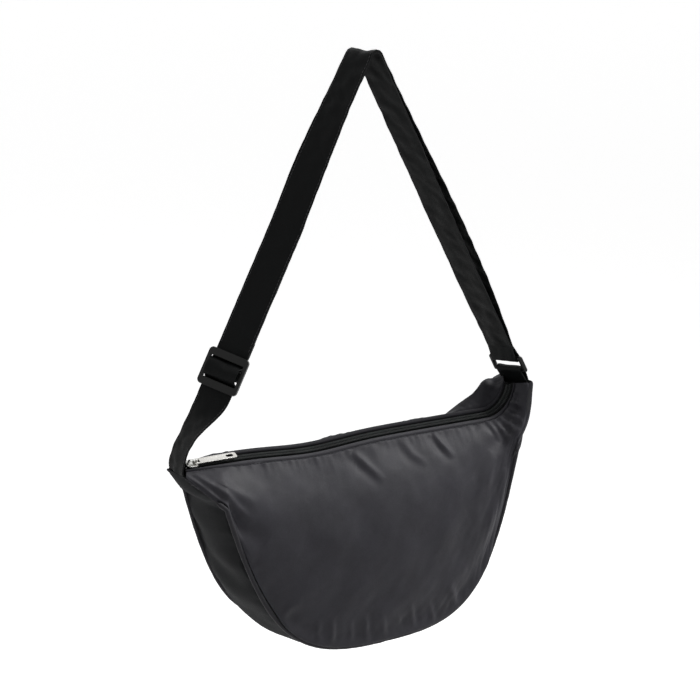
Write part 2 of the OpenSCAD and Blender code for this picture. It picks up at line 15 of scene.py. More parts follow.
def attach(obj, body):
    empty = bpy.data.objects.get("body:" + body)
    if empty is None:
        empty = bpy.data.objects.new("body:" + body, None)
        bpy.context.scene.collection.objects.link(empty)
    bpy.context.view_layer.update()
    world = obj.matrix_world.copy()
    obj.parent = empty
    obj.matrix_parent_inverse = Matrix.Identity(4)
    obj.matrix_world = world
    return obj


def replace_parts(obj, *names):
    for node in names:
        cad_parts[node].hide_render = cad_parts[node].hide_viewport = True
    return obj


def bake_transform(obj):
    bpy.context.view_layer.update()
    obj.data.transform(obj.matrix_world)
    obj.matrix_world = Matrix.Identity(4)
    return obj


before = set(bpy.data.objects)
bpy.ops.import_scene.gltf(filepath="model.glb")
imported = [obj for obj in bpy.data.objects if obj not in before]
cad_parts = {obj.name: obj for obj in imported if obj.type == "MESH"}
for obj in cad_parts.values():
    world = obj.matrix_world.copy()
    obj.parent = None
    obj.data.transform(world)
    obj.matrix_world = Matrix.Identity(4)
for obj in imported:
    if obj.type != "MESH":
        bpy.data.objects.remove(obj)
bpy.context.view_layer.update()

# Camera, fitted to the corners, the seams and both legs of the strap
VIEW_AZ, VIEW_EL, VIEW_DIST = -0.5911285, 0.2530727, 2.0
VIEW_RIGHT, VIEW_UP = -0.004773, 0.080882
FOCAL_PX, IMAGE_PX, SENSOR_MM = 2200.0, 700.0, 36.0

# Sizes of the bag, as in the part's source
STRAP_W, STRAP_T, LAYER_GAP, FOLD_R = 30.0, 1.1, 0.4, 4.0
LEG_LEAN, ADJUSTER_RUN, RING_RUN = 28.0, 300.0, 336.0
ADJUSTER_TRAVEL, ADJUSTER_TWIST, FOLD_TWIST, RING_TWIST = 100.0, 42.0, 16.0, 14.0
HANG_DROP, FOLD_SHIFT = 350.0, 9.0
ZIP_LEFT, ZIP_STRAIGHT, ZIP_LEFT_Z = 180.0, 326.0, 4.0
MOUTH_FALL, MOUTH_TILT, BEND_R, BEND_TURN, HEM_W = 1.0, 25.0, 30.0, 88.0, 8.0
CORNER_X, CORNER_RISE, PINCH_X, PINCH_Z, BODY_H = 184.0, 30.0, 158.0, 28.0, 176.0
CORNER_REACH, KNOB_REACH = 2.5, 5.0
SIDE_DEPTH, DEPTH_BOW, FRONT_SWELL, BACK_SWELL = 62.0, 22.0, 20.0, 18.0
CREST_H, GUSSET_SAG, CLOTH_T, PIPING_R = 20.0, 5.0, 1.6, 2.2
SEAT, SLIDER_W = 0.3, 9.6
FOLD_GAP = SLIDER_W / 2 + SEAT
ZIP_LEN = ZIP_STRAIGHT + BEND_R * radians(BEND_TURN)
TILT, LEAN = radians(MOUTH_TILT), radians(LEG_LEAN)

# Shares of the seam, the panels and the crest, as in the part's source
PINCH_SHARE, SWELL_SHARE, SWELL_ROUND = 0.16, 0.62, 0.6
SEAM_SIDE, SEAM_BASE = (0.655, 0.905), (0.5, 1.012)
CREST_FROM, CREST_TOP, CREST_END, CREST_ROWS = 0.74, 0.72, 0.15, 0.3
CREST_SPREAD, CREST_ROUND, CORNER_HEM = 0.6, 1.5, 0.25

# What the scene adds to them: edges beside the piping, a fuller knob and the zip's sag
EDGE_MARGIN, BARE_MARGIN, STITCH_AT, RUN_STEP = 1.2, 0.1, 0.6, 0.004
BARE_LEAD, BARE_FADE, KNOB_FROM, KNOB_FADE = 0.022, 0.012, 0.925, 0.03
KNOB_SWELL, KNOB_LEAD, KNOB_RAMP, KNOB_AIM = 5.0, 0.05, 0.08, (0.5, 1.2, 0.2)
DROOP, DROOP_AT, DROOP_W = 4.2, 130.0, 48.0


def mix(a, b, t):
    return a + (b - a) * t


def smooth(t):
    c = np.clip(t, 0.0, 1.0)
    return c * c * (3 - 2 * c)


def bell(t, at, width):
    """A bell of height one about a place."""
    return np.exp(-((t - at) / width) ** 2)


def norm(v, keep=False):
    return np.linalg.norm(v, axis=-1, keepdims=keep)


def unit(v):
    return v / norm(v, True)


def stack(x, y, z):
    return np.stack(np.broadcast_arrays(x, y, z), axis=-1).astype(float)


def bezier(t, p, q, r, s):
    t = t[..., None]
    return (1 - t) ** 3 * p + 3 * (1 - t) ** 2 * t * q + 3 * (1 - t) * t ** 2 * r + t ** 3 * s


def lengths(points, axis=0):
    """Running length along a line, or along an axis of a grid."""
    return np.insert(np.cumsum(norm(np.diff(points, axis=axis)), axis=axis), 0, 0, axis)


def heading(a):
    """The zip's slope at a distance along it: straight, then round its last bend."""
    return np.radians(-MOUTH_FALL) + np.maximum(0.0, a - ZIP_STRAIGHT) / BEND_R


def along(h):
    return stack(np.cos(h), 0.0, np.sin(h))


def above(h):
    return stack(-np.sin(h), 0.0, np.cos(h))


def zip_at(a):
    """The closed zip's middle line, with the sag of its left half."""
    a = np.asarray(a, float)
    h0 = radians(-MOUTH_FALL)
    start = np.array([-ZIP_LEFT, 0.0, ZIP_LEFT_Z])
    middle = start + ZIP_STRAIGHT * along(h0) + BEND_R * above(h0)
    straight = start + a[..., None] * along(h0)
    bent = middle - BEND_R * above(heading(a))
    line = np.where((a <= ZIP_STRAIGHT)[..., None], straight, bent)
    return line - stack(0.0, 0.0, DROOP * bell(a, DROOP_AT, DROOP_W))


def mouth_out(h, side):
    """Away from the zip, in the plane of the tilted mouth."""
    return side * (np.cos(TILT) * np.array([0.0, 1.0, 0.0]) + np.sin(TILT) * above(h))


def mouth_up(h):
    return np.cos(TILT) * above(h) - np.sin(TILT) * np.array([0.0, 1.0, 0.0])


def bow_depth(x):
    return SIDE_DEPTH / 2 + DEPTH_BOW * (1 - (x / CORNER_X) ** 2)


def seam(s, side):
    """The seam of a panel and the gusset, from the left corner round the bottom to the right one."""
    s = np.asarray(s, float)
    h = 1 - np.abs(2 * s - 1)
    t = h / PINCH_SHARE
    line = stack(mix(CORNER_X, PINCH_X, t), mix(STRAP_W / 2, bow_depth(PINCH_X), t), -PINCH_Z * t)
    t = np.clip((h - PINCH_SHARE) / (1 - PINCH_SHARE), 0, 1)
    c = bezier(t, *np.array([[PINCH_X, -PINCH_Z], [CORNER_X * SEAM_SIDE[0], -BODY_H * SEAM_SIDE[1]],
                             [CORNER_X * SEAM_BASE[0], -BODY_H * SEAM_BASE[1]], [0.0, -BODY_H]]))
    curve = stack(c[..., 0], bow_depth(c[..., 0]), c[..., 1])
    q = np.where((h < PINCH_SHARE)[..., None], line, curve)
    right = s > 0.5
    reach = np.where(right, KNOB_REACH, CORNER_REACH) * (1 - np.minimum(h / PINCH_SHARE, 1) ** 2)
    return stack(np.where(right, 1, -1) * (q[..., 0] + reach), side * (q[..., 1] + reach / 2),
                 q[..., 2] + np.where(right, CORNER_RISE * (1 - smooth(h / PINCH_SHARE)), 0.0))


def seam_run(s, side):
    return unit(seam(np.minimum(s + RUN_STEP, 1), side) - seam(np.maximum(s - RUN_STEP, 0), side))


def seam_out(s):
    r = seam_run(s, 1)
    return unit(stack(r[..., 2], 0.0, -r[..., 0]))


def hem_at(s):
    return HEM_W * mix(CORNER_HEM, 1.0, smooth(np.minimum(s, 1 - s) / PINCH_SHARE))


def hem_point(s, side, t, up):
    """A place on the hem: t across it from the fold beside the zip, and up above the tape."""
    h = heading(s * ZIP_LEN)
    out = np.asarray(FOLD_GAP + t * hem_at(s))
    return zip_at(s * ZIP_LEN) + out[..., None] * mouth_out(h, side) + np.asarray(up)[..., None] * mouth_up(h)


def bare(s):
    """One where a seam has no piping: at the corners, past the pinches."""
    return np.maximum(1 - smooth((s - PINCH_SHARE / 2 + BARE_LEAD) / BARE_FADE),
                      smooth((s - KNOB_FROM) / KNOB_FADE))


def panel_edge(s, side):
    p, r = seam(s, side), seam_run(s, side)
    inwards = hem_point(s, side, 1.0, SEAT + CLOTH_T) - p
    inwards = unit(inwards - (inwards * r).sum(-1, keepdims=True) * r)
    margin = mix(EDGE_MARGIN, BARE_MARGIN, bare(s))
    return p + margin[..., None] * inwards + np.array([0, side * CLOTH_T / 2, 0])


def crest(s, v):
    """Height of the back panel's crest behind the zip's right end."""
    t = np.clip((s - CREST_FROM) / (1 - CREST_FROM), 0, 1)
    rows = mix(CREST_ROWS, 1.0, smooth((t - CREST_SPREAD) / (1 - CREST_SPREAD)))
    rise = np.sin(pi / 2 * np.minimum(t / CREST_TOP, 1)) ** CREST_ROUND
    fall = mix(1.0, CREST_END, smooth((t - CREST_TOP) / (1 - CREST_TOP)))
    return CREST_H * rise * fall * np.sin(pi * np.clip(v / rows, 0, 1))


def panel_at(s, side, v):
    """A panel's plain form, s along it and v down it from the topstitching to the seam."""
    s, v = np.broadcast_arrays(np.asarray(s, float), np.asarray(v, float))
    swell = FRONT_SWELL if side < 0 else BACK_SWELL
    top, edge = hem_point(s, side, STITCH_AT, SEAT + CLOTH_T), panel_edge(s, side)
    bulge = (side * swell * np.sin(pi * np.clip(s, 0, 1)) ** SWELL_ROUND
             * np.sin(pi * np.clip(v, 0, 1) ** SWELL_SHARE))
    knob = KNOB_SWELL * smooth((s - KNOB_FROM + KNOB_LEAD) / KNOB_RAMP) * np.sin(pi * v)
    return (mix(top, edge, v[..., None]) + stack(0.0, bulge, crest(s, v) if side > 0 else 0.0 * s)
            + stack(KNOB_AIM[0] * knob, side * KNOB_AIM[1] * knob, KNOB_AIM[2] * knob))


def gusset_at(s, w, margin=0.0):
    """The gusset's plain form, s along it and w across it, from -1 at the front seam to 1."""
    s, w = np.broadcast_arrays(np.asarray(s, float), np.asarray(w, float))
    f, b = seam(s, -1), seam(s, 1)
    half = norm(b - f) / 2
    r = 1 - margin * (1 - bare(s)) / half
    h = 1 - np.abs(2 * s - 1)
    t = np.clip((h - PINCH_SHARE) / (1 - PINCH_SHARE), 0, 1)
    sag = np.where(h < PINCH_SHARE, 0, GUSSET_SAG * np.sin(pi / 2 * t))
    return mix(f, b, ((1 + w * r) / 2)[..., None]) + (sag * (1 - w * w))[..., None] * seam_out(s)


# Meshes
MOUTH = np.array([-FOLD_SHIFT, 0.0, -HANG_DROP])
MM = 0.001
SHARP_TURN = 55.0
scene = bpy.context.scene


def link(name, data):
    obj = bpy.data.objects.new(name, data)
    scene.collection.objects.link(obj)
    return obj


def evaluated(obj):
    return obj.evaluated_get(bpy.context.evaluated_depsgraph_get())


def finish_mesh(name, points, faces, uvs, look, bag=True):
    """A smooth-shaded object from points in mm, with its look: body and material; the look's slot is not used.
    """
    body, slot, material = look
    points = points.reshape(-1, 3) + (MOUTH if bag else 0)
    mesh = bpy.data.meshes.new(name)
    mesh.from_pydata((points * MM).tolist(), [], faces)
    mesh.update()
    layer = mesh.uv_layers.new(name="UVMap")
    corners = np.empty(len(mesh.loops), int)
    mesh.loops.foreach_get("vertex_index", corners)
    layer.data.foreach_set("uv", (uvs.reshape(-1, 2)[corners] * MM).ravel())
    mesh.shade_smooth()
    mesh.set_sharp_from_angle(angle=radians(SHARP_TURN))
    mesh.materials.append(material)
    obj = link(name, mesh)
    if body:
        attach(obj, body)
    return obj


def grid_faces(n, m, flip=False, start=0):
    i, j = np.meshgrid(np.arange(n - 1), np.arange(m - 1), indexing="ij")
    a = start + i * m + j
    quads = np.stack([a, a + m, a + m + 1, a + 1], -1).reshape(-1, 4)
    return (quads[:, ::-1] if flip else quads).tolist()


def grid_normals(points, sign):
    return sign * unit(np.cross(np.gradient(points, axis=0), np.gradient(points, axis=1)))


def sheet_object(name, outer, normals, thick, flip, look, bag=True):
    """A closed sheet of cloth: its outer grid, an inner one and the rim between them."""
    n, m = outer.shape[:2]
    inner = outer - thick * normals
    faces = grid_faces(n, m, flip) + grid_faces(n, m, not flip, n * m)
    rim = [i * m for i in range(n)] + [(n - 1) * m + j for j in range(1, m)]
    rim += [i * m + m - 1 for i in range(n - 2, -1, -1)] + list(range(m - 2, 0, -1))
    for k, a in enumerate(rim):
        b = rim[(k + 1) % len(rim)]
        quad = [a, a + n * m, b + n * m, b]
        faces.append(quad[::-1] if flip else quad)
    uv = np.stack([lengths(outer, 0), lengths(outer, 1)], -1)
    return finish_mesh(name, np.concatenate([outer, inner]), faces, np.concatenate([uv, uv]), look, bag)


def webbing_sheet(name, outer, normals, out, body):
    """A sheet of webbing with its faces turned to the side that out points to."""
    flip = (np.cross(outer[1, 0] - outer[0, 0], outer[0, 1] - outer[0, 0]) * out[0]).sum() < 0
    return sheet_object(name, outer, normals, STRAP_T, flip, (body, "strap_webbing", WEBBING), False)


def ring_walls(count, sides):
    """Faces between rings of points, and the two caps."""
    walls = [[k * sides + i, k * sides + (i + 1) % sides, (k + 1) * sides + (i + 1) % sides, (k + 1) * sides + i]
             for k in range(count - 1) for i in range(sides)]
    return walls + [list(range(sides))[::-1], [(count - 1) * sides + i for i in range(sides)]]


# A pill's rings, as shares of its half length and of its radius
PILL_SIDES, PILL_RINGS = 6, [(-1.0, 0.5), (-0.82, 0.95), (0.0, 1.0), (0.82, 0.95), (1.0, 0.5)]


def pills_object(name, centres, runs, ups, half, radius, flat, look, bag=True):
    """Many pills in one mesh: stitches of a seam, or the elements of a zip."""
    turn = np.arange(PILL_SIDES) * 2 * pi / PILL_SIDES
    points = np.array([[x, r * cos(t), r * sin(t)] for x, r in PILL_RINGS for t in turn])
    faces = ring_walls(len(PILL_RINGS), PILL_SIDES)
    sides = np.cross(ups, runs)
    shape = (points[None, :, 0:1] * half * runs[:, None] + points[None, :, 1:2] * radius * sides[:, None]
             + points[None, :, 2:3] * radius * flat * ups[:, None] + centres[:, None])
    every = [[i + k * len(points) for i in face] for k in range(len(centres)) for face in faces]
    uv = np.tile(points[:, :2], (len(centres), 1))
    return finish_mesh(name, shape, every, uv, look, bag)


# Stitches: how far they stand out, how flat they are and how far ahead their run is read
STITCH_RISE, STITCH_FLAT, STITCH_AHEAD = 0.4, 0.8, 0.5


def stitch_object(name, line, normals, look, stitch=2.6, gap=0.9, radius=0.26, bag=True):
    """A row of stitches along a line that lies on cloth."""
    run = lengths(line)
    places = np.arange(stitch, run[-1] - stitch, stitch + gap)
    centres, ahead, up = (np.stack([np.interp(at, run, rows[:, k]) for k in range(3)], -1)
                          for at, rows in ((places, line), (places + STITCH_AHEAD, line), (places, normals)))
    up = unit(up)
    runs = ahead - centres
    runs = unit(runs - (runs * up).sum(-1, keepdims=True) * up)
    return pills_object(name, centres + STITCH_RISE * radius * up, runs, up, stitch / 2, radius, STITCH_FLAT,
                        look, bag)


def ripples(u, v, size, seed, count=14):
    """Smooth random relief of about unit height, with features of about that size in mm."""
    rng = np.random.default_rng(seed)
    total = np.zeros(np.broadcast(u, v).shape)
    for _ in range(count):
        turn = rng.uniform(0, 2 * pi)
        k = 2 * pi / (size * rng.uniform(0.75, 1.5))
        total += np.sin(k * (u * cos(turn) + v * sin(turn)) + rng.uniform(0, 2 * pi))
    return total / np.sqrt(count / 2)


# Materials
RAMP_LOW, RAMP_HIGH = 0.3, 0.7
BLOTCH_SCALE, GRAIN_SCALE, BLOTCH_SHARE = 34.0, 900.0, 0.7
CLOTH_GLOSS, HARD_GLOSS = 0.16, 0.18
FINE_RELIEF, BROAD_RELIEF = 0.0002, 0.0012


def node_material(name, base, rough, **extra):
    material = bpy.data.materials.new(name)
    material.use_nodes = True
    shader = material.node_tree.nodes["Principled BSDF"]
    shader.inputs["Base Color"].default_value = (*base, 1)
    shader.inputs["Roughness"].default_value = rough
    for key, value in extra.items():
        shader.inputs[key.replace("_", " ")].default_value = value
    return material, material.node_tree, shader


def wire(tree, source, socket):
    tree.links.new(source, socket)


def add(tree, kind, **values):
    node = tree.nodes.new(kind)
    for key, value in values.items():
        if key in node.inputs:
            node.inputs[key].default_value = value
        else:
            setattr(node, key, value)
    return node


def tone_ramp(tree, source, base, vary):
    """The base colour, from darker to lighter by the share vary as a value rises."""
    node = tree.nodes.new("ShaderNodeValToRGB")
    for stop, place, share in zip(node.color_ramp.elements, (RAMP_LOW, RAMP_HIGH), (1 - vary, 1 + vary)):
        stop.position, stop.color = place, (*(min(1, c * share) for c in base), 1)
    wire(tree, source, node.inputs[0])
    return node.outputs[0]


def calc(tree, kind, a, b=None):
    """A node that works out one value from one or two values or sockets."""
    node = add(tree, "ShaderNodeMath", operation=kind)
    for k, value in enumerate((a, b)):
        if isinstance(value, (int, float)):
            node.inputs[k].default_value = value
        elif value is not None:
            wire(tree, value, node.inputs[k])
    return node.outputs[0]


def spread_gloss(tree, noise, rough, spread):
    """A roughness that varies about its middle with a noise."""
    return calc(tree, "ADD", calc(tree, "MULTIPLY", noise, spread), rough - spread / 2)


def noises(tree, *settings):
    """Noise textures on the object's own coordinates."""
    coord = tree.nodes.new("ShaderNodeTexCoord")
    made = [add(tree, "ShaderNodeTexNoise", **values) for values in settings]
    for node in made:
        wire(tree, coord.outputs["Object"], node.inputs["Vector"])
    return [node.outputs[0] for node in made]


def weave(tree, pitch_u, pitch_v, twill=0.0):
    """Height of a weave on the UV map: threads that cross over and under each other."""
    coord = add(tree, "ShaderNodeUVMap", uv_map="UVMap")
    split = tree.nodes.new("ShaderNodeSeparateXYZ")
    wire(tree, coord.outputs[0], split.inputs[0])
    u = calc(tree, "MULTIPLY", split.outputs[0], 2 * pi / (pitch_u * MM))
    v = calc(tree, "MULTIPLY", split.outputs[1], 2 * pi / (pitch_v * MM))
    if twill:
        u = calc(tree, "ADD", u, calc(tree, "MULTIPLY", v, twill))
    return calc(tree, "MULTIPLY", calc(tree, "SINE", u), calc(tree, "SINE", v))


def cloth_material(name, base, rough, pitch=(0.45, 0.45), twill=0.0, mottle=0.25, bump=0.12,
                   sheen=0.0, specular=0.35, crinkle=0.15, crinkle_size=90.0):
    """Woven cloth: thread relief, blotches of tone, fine crinkles and a soft sheen."""
    material, tree, shader = node_material(name, base, rough, Sheen_Weight=sheen, Sheen_Roughness=0.45,
                                           Specular_IOR_Level=specular)
    blotch, grain, folds = noises(tree, dict(Scale=BLOTCH_SCALE, Detail=4.0, Roughness=0.6),
                                  dict(Scale=GRAIN_SCALE, Detail=2.0),
                                  dict(Scale=crinkle_size, Detail=3.0, Distortion=0.6))
    tone = calc(tree, "ADD", calc(tree, "MULTIPLY", blotch, BLOTCH_SHARE),
                calc(tree, "MULTIPLY", grain, 1 - BLOTCH_SHARE))
    wire(tree, tone_ramp(tree, tone, base, mottle), shader.inputs["Base Color"])
    wire(tree, spread_gloss(tree, blotch, rough, CLOTH_GLOSS), shader.inputs["Roughness"])
    fine = add(tree, "ShaderNodeBump", Strength=bump, Distance=FINE_RELIEF)
    wire(tree, weave(tree, *pitch, twill), fine.inputs["Height"])
    broad = add(tree, "ShaderNodeBump", Strength=crinkle, Distance=BROAD_RELIEF)
    wire(tree, folds, broad.inputs["Height"])
    wire(tree, broad.outputs[0], fine.inputs["Normal"])
    wire(tree, fine.outputs[0], shader.inputs["Normal"])
    return material


def plain_material(name, base, rough, metallic=0.0, scratch=0.05, scale=300.0, specular=0.5, vary=0.2):
    """Moulded plastic or plated metal: fine scratches and small changes of gloss."""
    material, tree, shader = node_material(name, base, rough, Metallic=metallic, Specular_IOR_Level=specular)
    noise, broad = noises(tree, dict(Scale=scale, Detail=5.0, Roughness=0.65), dict(Scale=scale / 8, Detail=2.0))
    wire(tree, tone_ramp(tree, broad, base, vary), shader.inputs["Base Color"])
    wire(tree, spread_gloss(tree, noise, rough, HARD_GLOSS), shader.inputs["Roughness"])
    bump = add(tree, "ShaderNodeBump", Strength=scratch, Distance=FINE_RELIEF)
    wire(tree, noise, bump.inputs["Height"])
    wire(tree, bump.outputs[0], shader.inputs["Normal"])
    return material


SHELL = cloth_material("shell_nylon", (0.031, 0.03, 0.0365), 0.56, sheen=0.06, specular=0.2)
# The back panel is the same nylon as the front; its darker base colour is painted shade for the back and its
# crest
BACK_SHELL_PAINTED_SHADE = cloth_material("shell_nylon_back_painted_shade", (0.022, 0.0215, 0.026), 0.6, sheen=0.04, specular=0.15)
# The gusset's base colour, darker than the shell's, is painted shade for its sides that face away from the light
GUSSET_PAINTED_SHADE = cloth_material("gusset_nylon_painted_shade", (0.015, 0.0155, 0.0165), 0.8, specular=0.1)
PIPING = cloth_material("piping_tape", (0.026, 0.025, 0.029), 0.65, (0.5, 0.6), bump=0.2, sheen=0.04,
                        specular=0.2)
LINING = cloth_material("lining_cloth", (0.02, 0.02, 0.023), 0.5, (0.3, 0.3), mottle=0.1, sheen=0.04)
TAPE = cloth_material("zip_tape_cloth", (0.008, 0.0085, 0.0085), 0.75, (0.7, 0.5), 1.0, bump=0.35,
                      crinkle=0.0, specular=0.2)
WEBBING = cloth_material("strap_satin", (0.004, 0.0044, 0.0045), 0.58, (0.6, 0.4), mottle=0.4, bump=0.15,
                         specular=0.09, crinkle=0.3, crinkle_size=70.0)
THREAD = cloth_material("seam_thread", (0.01, 0.01, 0.012), 0.6, (0.3, 0.3), bump=0.3, crinkle=0.0)
STRAP_THREAD = cloth_material("strap_thread", (0.03, 0.03, 0.032), 0.45, (0.3, 0.3), bump=0.3, crinkle=0.0)
COIL = plain_material("zip_nylon", (0.04, 0.045, 0.044), 0.35, scratch=0.1, specular=0.3)
PLASTIC = plain_material("moulded_black", (0.004, 0.0042, 0.004), 0.36, scratch=0.08, specular=0.22)
CHROME = plain_material("plated_slider", (0.62, 0.62, 0.6), 0.22, 1.0, vary=0.06)
SATIN = plain_material("plated_puller", (0.66, 0.65, 0.62), 0.28, 1.0, scratch=0.12, vary=0.06)


# Strap: sizes as in the part's source
FOLD_MIDDLE = np.array([0.0, 0.0, -FOLD_R])
LAYER_PITCH = STRAP_T + LAYER_GAP
BUNDLE_R = FOLD_R + (STRAP_T + LAYER_PITCH) / 2
INNER, OUTER = -LAYER_PITCH / 2, LAYER_PITCH / 2
FOLD_HALF = radians(90 - LEG_LEAN)
FOLD_ARC = BUNDLE_R * FOLD_HALF
ADJUSTER_H, ADJUSTER_T, ADJUSTER_BAR, ADJUSTER_MID = 34.0, 4.5, 7.0, 7.0
BEND_FLAT, LOOP_TAIL, TURN_L, TAB_L, RING_BAR_D, RING_PITCH = 5.0, 10.0, 14.0, 6.5, 4.5, 13.5
RUNNING, BUTT = 0.3, 0.03
BEND_REACH = ADJUSTER_H / 2 + BEND_FLAT
LOOP_TOP = BEND_REACH + LOOP_TAIL
SLIDE_TOP = ADJUSTER_RUN - ADJUSTER_TRAVEL - LOOP_TOP - BEND_FLAT
SLIDE_LOW = ADJUSTER_RUN - BEND_REACH - BUTT
SEWN_END_SHARE, LOWER_BEND, LOWER_TWIST, SEWN_TWIST = 0.32, (0.38, 0.28), 0.35, -6.0

# How the layers part along the right leg, how the left leg bows, and how its inner layer peeks out
OUTER_PART, INNER_PART, PART_LOW = 6.5, -1.2, 1.6
LEFT_PART, LEFT_PEEK, LEFT_BOW = -0.6, -2.2, -1.8

# Puckers of the webbing: sizes in mm, heights, and how much flatter the edges are
STRAP_COLUMNS, LEG_STEP, STRAP_WAVE, STITCH_INSET = 17, 2.2, 0.35, 1.6
PUCKER_SIZES, PUCKER_HEIGHTS, PUCKER_SKEW, EDGE_CALM = (16.0, 7.0), (0.75, 0.3), 0.2, 0.35


def leg_out(side):
    return np.array([side * cos(LEAN), 0.0, sin(LEAN)])


def leg_down(side):
    return np.array([side * sin(LEAN), 0.0, -cos(LEAN)])


def leg_twist(d):
    left = mix(FOLD_TWIST, ADJUSTER_TWIST, smooth(-d / SLIDE_TOP))
    return np.where(d < 0, left, mix(FOLD_TWIST, RING_TWIST, smooth(d / RING_RUN)))


def across(run, twist):
    """Across a strap that runs that way, turned by the twist about it."""
    t = np.radians(twist)
    w = stack(np.sin(t), -np.cos(t), 0.0)
    return unit(w - (w * run).sum(-1, keepdims=True) * run)


def strap_out(run, twist):
    return np.cross(across(run, twist), run)


def over_fold(d, layer):
    """Places, runs and twists of a layer at distances d from the fold: below zero on the left leg.

    The fold itself is an arc, whose stations are at |d| below its half length.
    """
    d = np.asarray(d, float)
    turn = np.clip(d / FOLD_ARC, -1, 1) * FOLD_HALF
    beyond = np.sign(d) * np.maximum(0, np.abs(d) - FOLD_ARC)
    run = stack(np.cos(turn), 0.0, -np.sin(turn))
    twist = np.where(np.abs(d) <= FOLD_ARC, FOLD_TWIST, leg_twist(beyond))
    centre = FOLD_MIDDLE + BUNDLE_R * stack(np.sin(turn), 0.0, np.cos(turn))
    centre = centre + np.abs(beyond)[:, None] * np.where(d[:, None] < 0, leg_down(-1), leg_down(1))
    right = np.sin(pi * np.clip(d / (RING_RUN - TURN_L + FOLD_ARC), 0, 1) ** PART_LOW)
    left = np.sin(pi * np.clip(-d / (SLIDE_TOP + FOLD_ARC), 0, 1))
    if layer > 0:
        spread, aside = OUTER_PART * right, 0.0 * left
    else:
        spread, aside = INNER_PART * right + LEFT_PART * left, LEFT_PEEK * left
    centre = centre + (layer + spread)[:, None] * strap_out(run, twist) + aside[:, None] * across(run, twist)
    return centre + stack(LEFT_BOW * left, 0.0, 0.0), run, twist


def strap_sheet(name, centre, run, twist, body, seed):
    """A length of the strap: a strip of webbing with soft puckers and a row of stitches along each edge."""
    w, o = across(run, twist), strap_out(run, twist)
    x = np.linspace(-0.5, 0.5, STRAP_COLUMNS) * STRAP_W
    height = centre[:, 2:3] + PUCKER_SKEW * centre[:, :1]
    rough, fine = (ripples(height, x[None], size, seed + k * 7) for k, size in enumerate(PUCKER_SIZES))
    rise = (STRAP_WAVE * (PUCKER_HEIGHTS[0] * rough + PUCKER_HEIGHTS[1] * fine)
            * (1 - EDGE_CALM * (2 * x / STRAP_W) ** 4))
    mid = centre[:, None] + x[None, :, None] * w[:, None] + rise[..., None] * o[:, None]
    outer = mid + STRAP_T / 2 * o[:, None]
    normals = grid_normals(outer, 1)
    normals *= np.sign((normals * o[:, None]).sum(-1, keepdims=True))
    pieces = [webbing_sheet(name, outer, normals, o, body)]
    for k, edge in enumerate((STITCH_INSET, STRAP_W - STITCH_INSET)):
        at = edge / STRAP_W * (STRAP_COLUMNS - 1)
        a, f = int(at), at - int(at)
        line = outer[:, a] * (1 - f) + outer[:, a + 1] * f
        look = (body, "strap_webbing", STRAP_THREAD)
        pieces.append(stitch_object(f"{name}_stitch_{k}", line, normals[:, a], look, bag=False))
    return pieces


def blended(objects, start, end):
    for obj in objects:
        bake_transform(obj)


def leg_piece(name, node, start, end, layer, body, seed):
    d = np.linspace(start, end, max(4, int(abs(end - start) / LEG_STEP)))
    pieces = strap_sheet(name, *over_fold(d, layer), body, seed)
    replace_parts(pieces[0], node)
    return pieces


def leg_place(d):
    """The place between the layers at a distance from the fold."""
    return over_fold(np.array([d]), 0.0)[0][0]


# The right leg's last stretch and its foot, as pieces of their own
RING_TOP, RIGHT_SPLIT, RIGHT_BEND, RIGHT_FOOT = RING_RUN - TURN_L, 64.0, 42.0, 16.0
SPLIT_AT, BEND_AT, FOOT_AT, RING_END = (RING_TOP - up_by + FOLD_ARC
                                        for up_by in (RIGHT_SPLIT, RIGHT_BEND, RIGHT_FOOT, 0))
SLIDE_FROM, SLIDE_TO = -SLIDE_TOP - FOLD_ARC, -SLIDE_LOW - FOLD_ARC


def strap_layer(layer, word, seed):
    run_node = f"strap_{word}_run"
    leg_piece(f"strap_{word}", run_node, SLIDE_FROM, SPLIT_AT, layer, "strap", seed)
    low = leg_piece(f"strap_{word}_ring_end", run_node, SPLIT_AT, FOOT_AT, layer, None, seed)
    foot = leg_piece(f"strap_{word}_ring_foot", run_node, FOOT_AT, RING_END, layer, None, seed)
    slide_node = f"strap_{word}_slide"
    slide = leg_piece(slide_node, slide_node, SLIDE_TO, SLIDE_FROM - BUTT, layer, None, seed)
    blended(low, leg_place(BEND_AT), leg_place(FOOT_AT))
    blended(foot, leg_place(FOOT_AT), leg_place(RING_END))
    blended(slide, leg_place(SLIDE_FROM), leg_place(SLIDE_TO))


strap_layer(OUTER, "outer", 3)
strap_layer(INNER, "inner", 11)

# Axes of the adjuster: across the strap, up it and out of its front
BEHIND = -ADJUSTER_T / 2 - STRAP_T / 2 - LAYER_GAP
adjuster_at, adjuster_up = (q[0] for q in over_fold(np.array([-ADJUSTER_RUN - FOLD_ARC]), OUTER)[:2])
ADJ_X = across(adjuster_up[None], np.array([ADJUSTER_TWIST]))[0]
ADJ_AXES = (ADJ_X, adjuster_up, np.cross(ADJ_X, adjuster_up))
ADJ_O = adjuster_at - BEHIND * ADJ_AXES[2]

PATH_COLUMNS, PATH_RIPPLE, PATH_FADE = 15, 12.0, 4


def rounded(path, times=3):
    """Corner cutting of a flat path, with its ends kept."""
    path = np.array(path, float)
    for _ in range(times):
        mid = np.stack([0.75 * path[:-1] + 0.25 * path[1:], 0.25 * path[:-1] + 0.75 * path[1:]], 1)
        path = np.concatenate([path[:1], mid.reshape(-1, 2)[1:-1], path[-1:]])
    return path


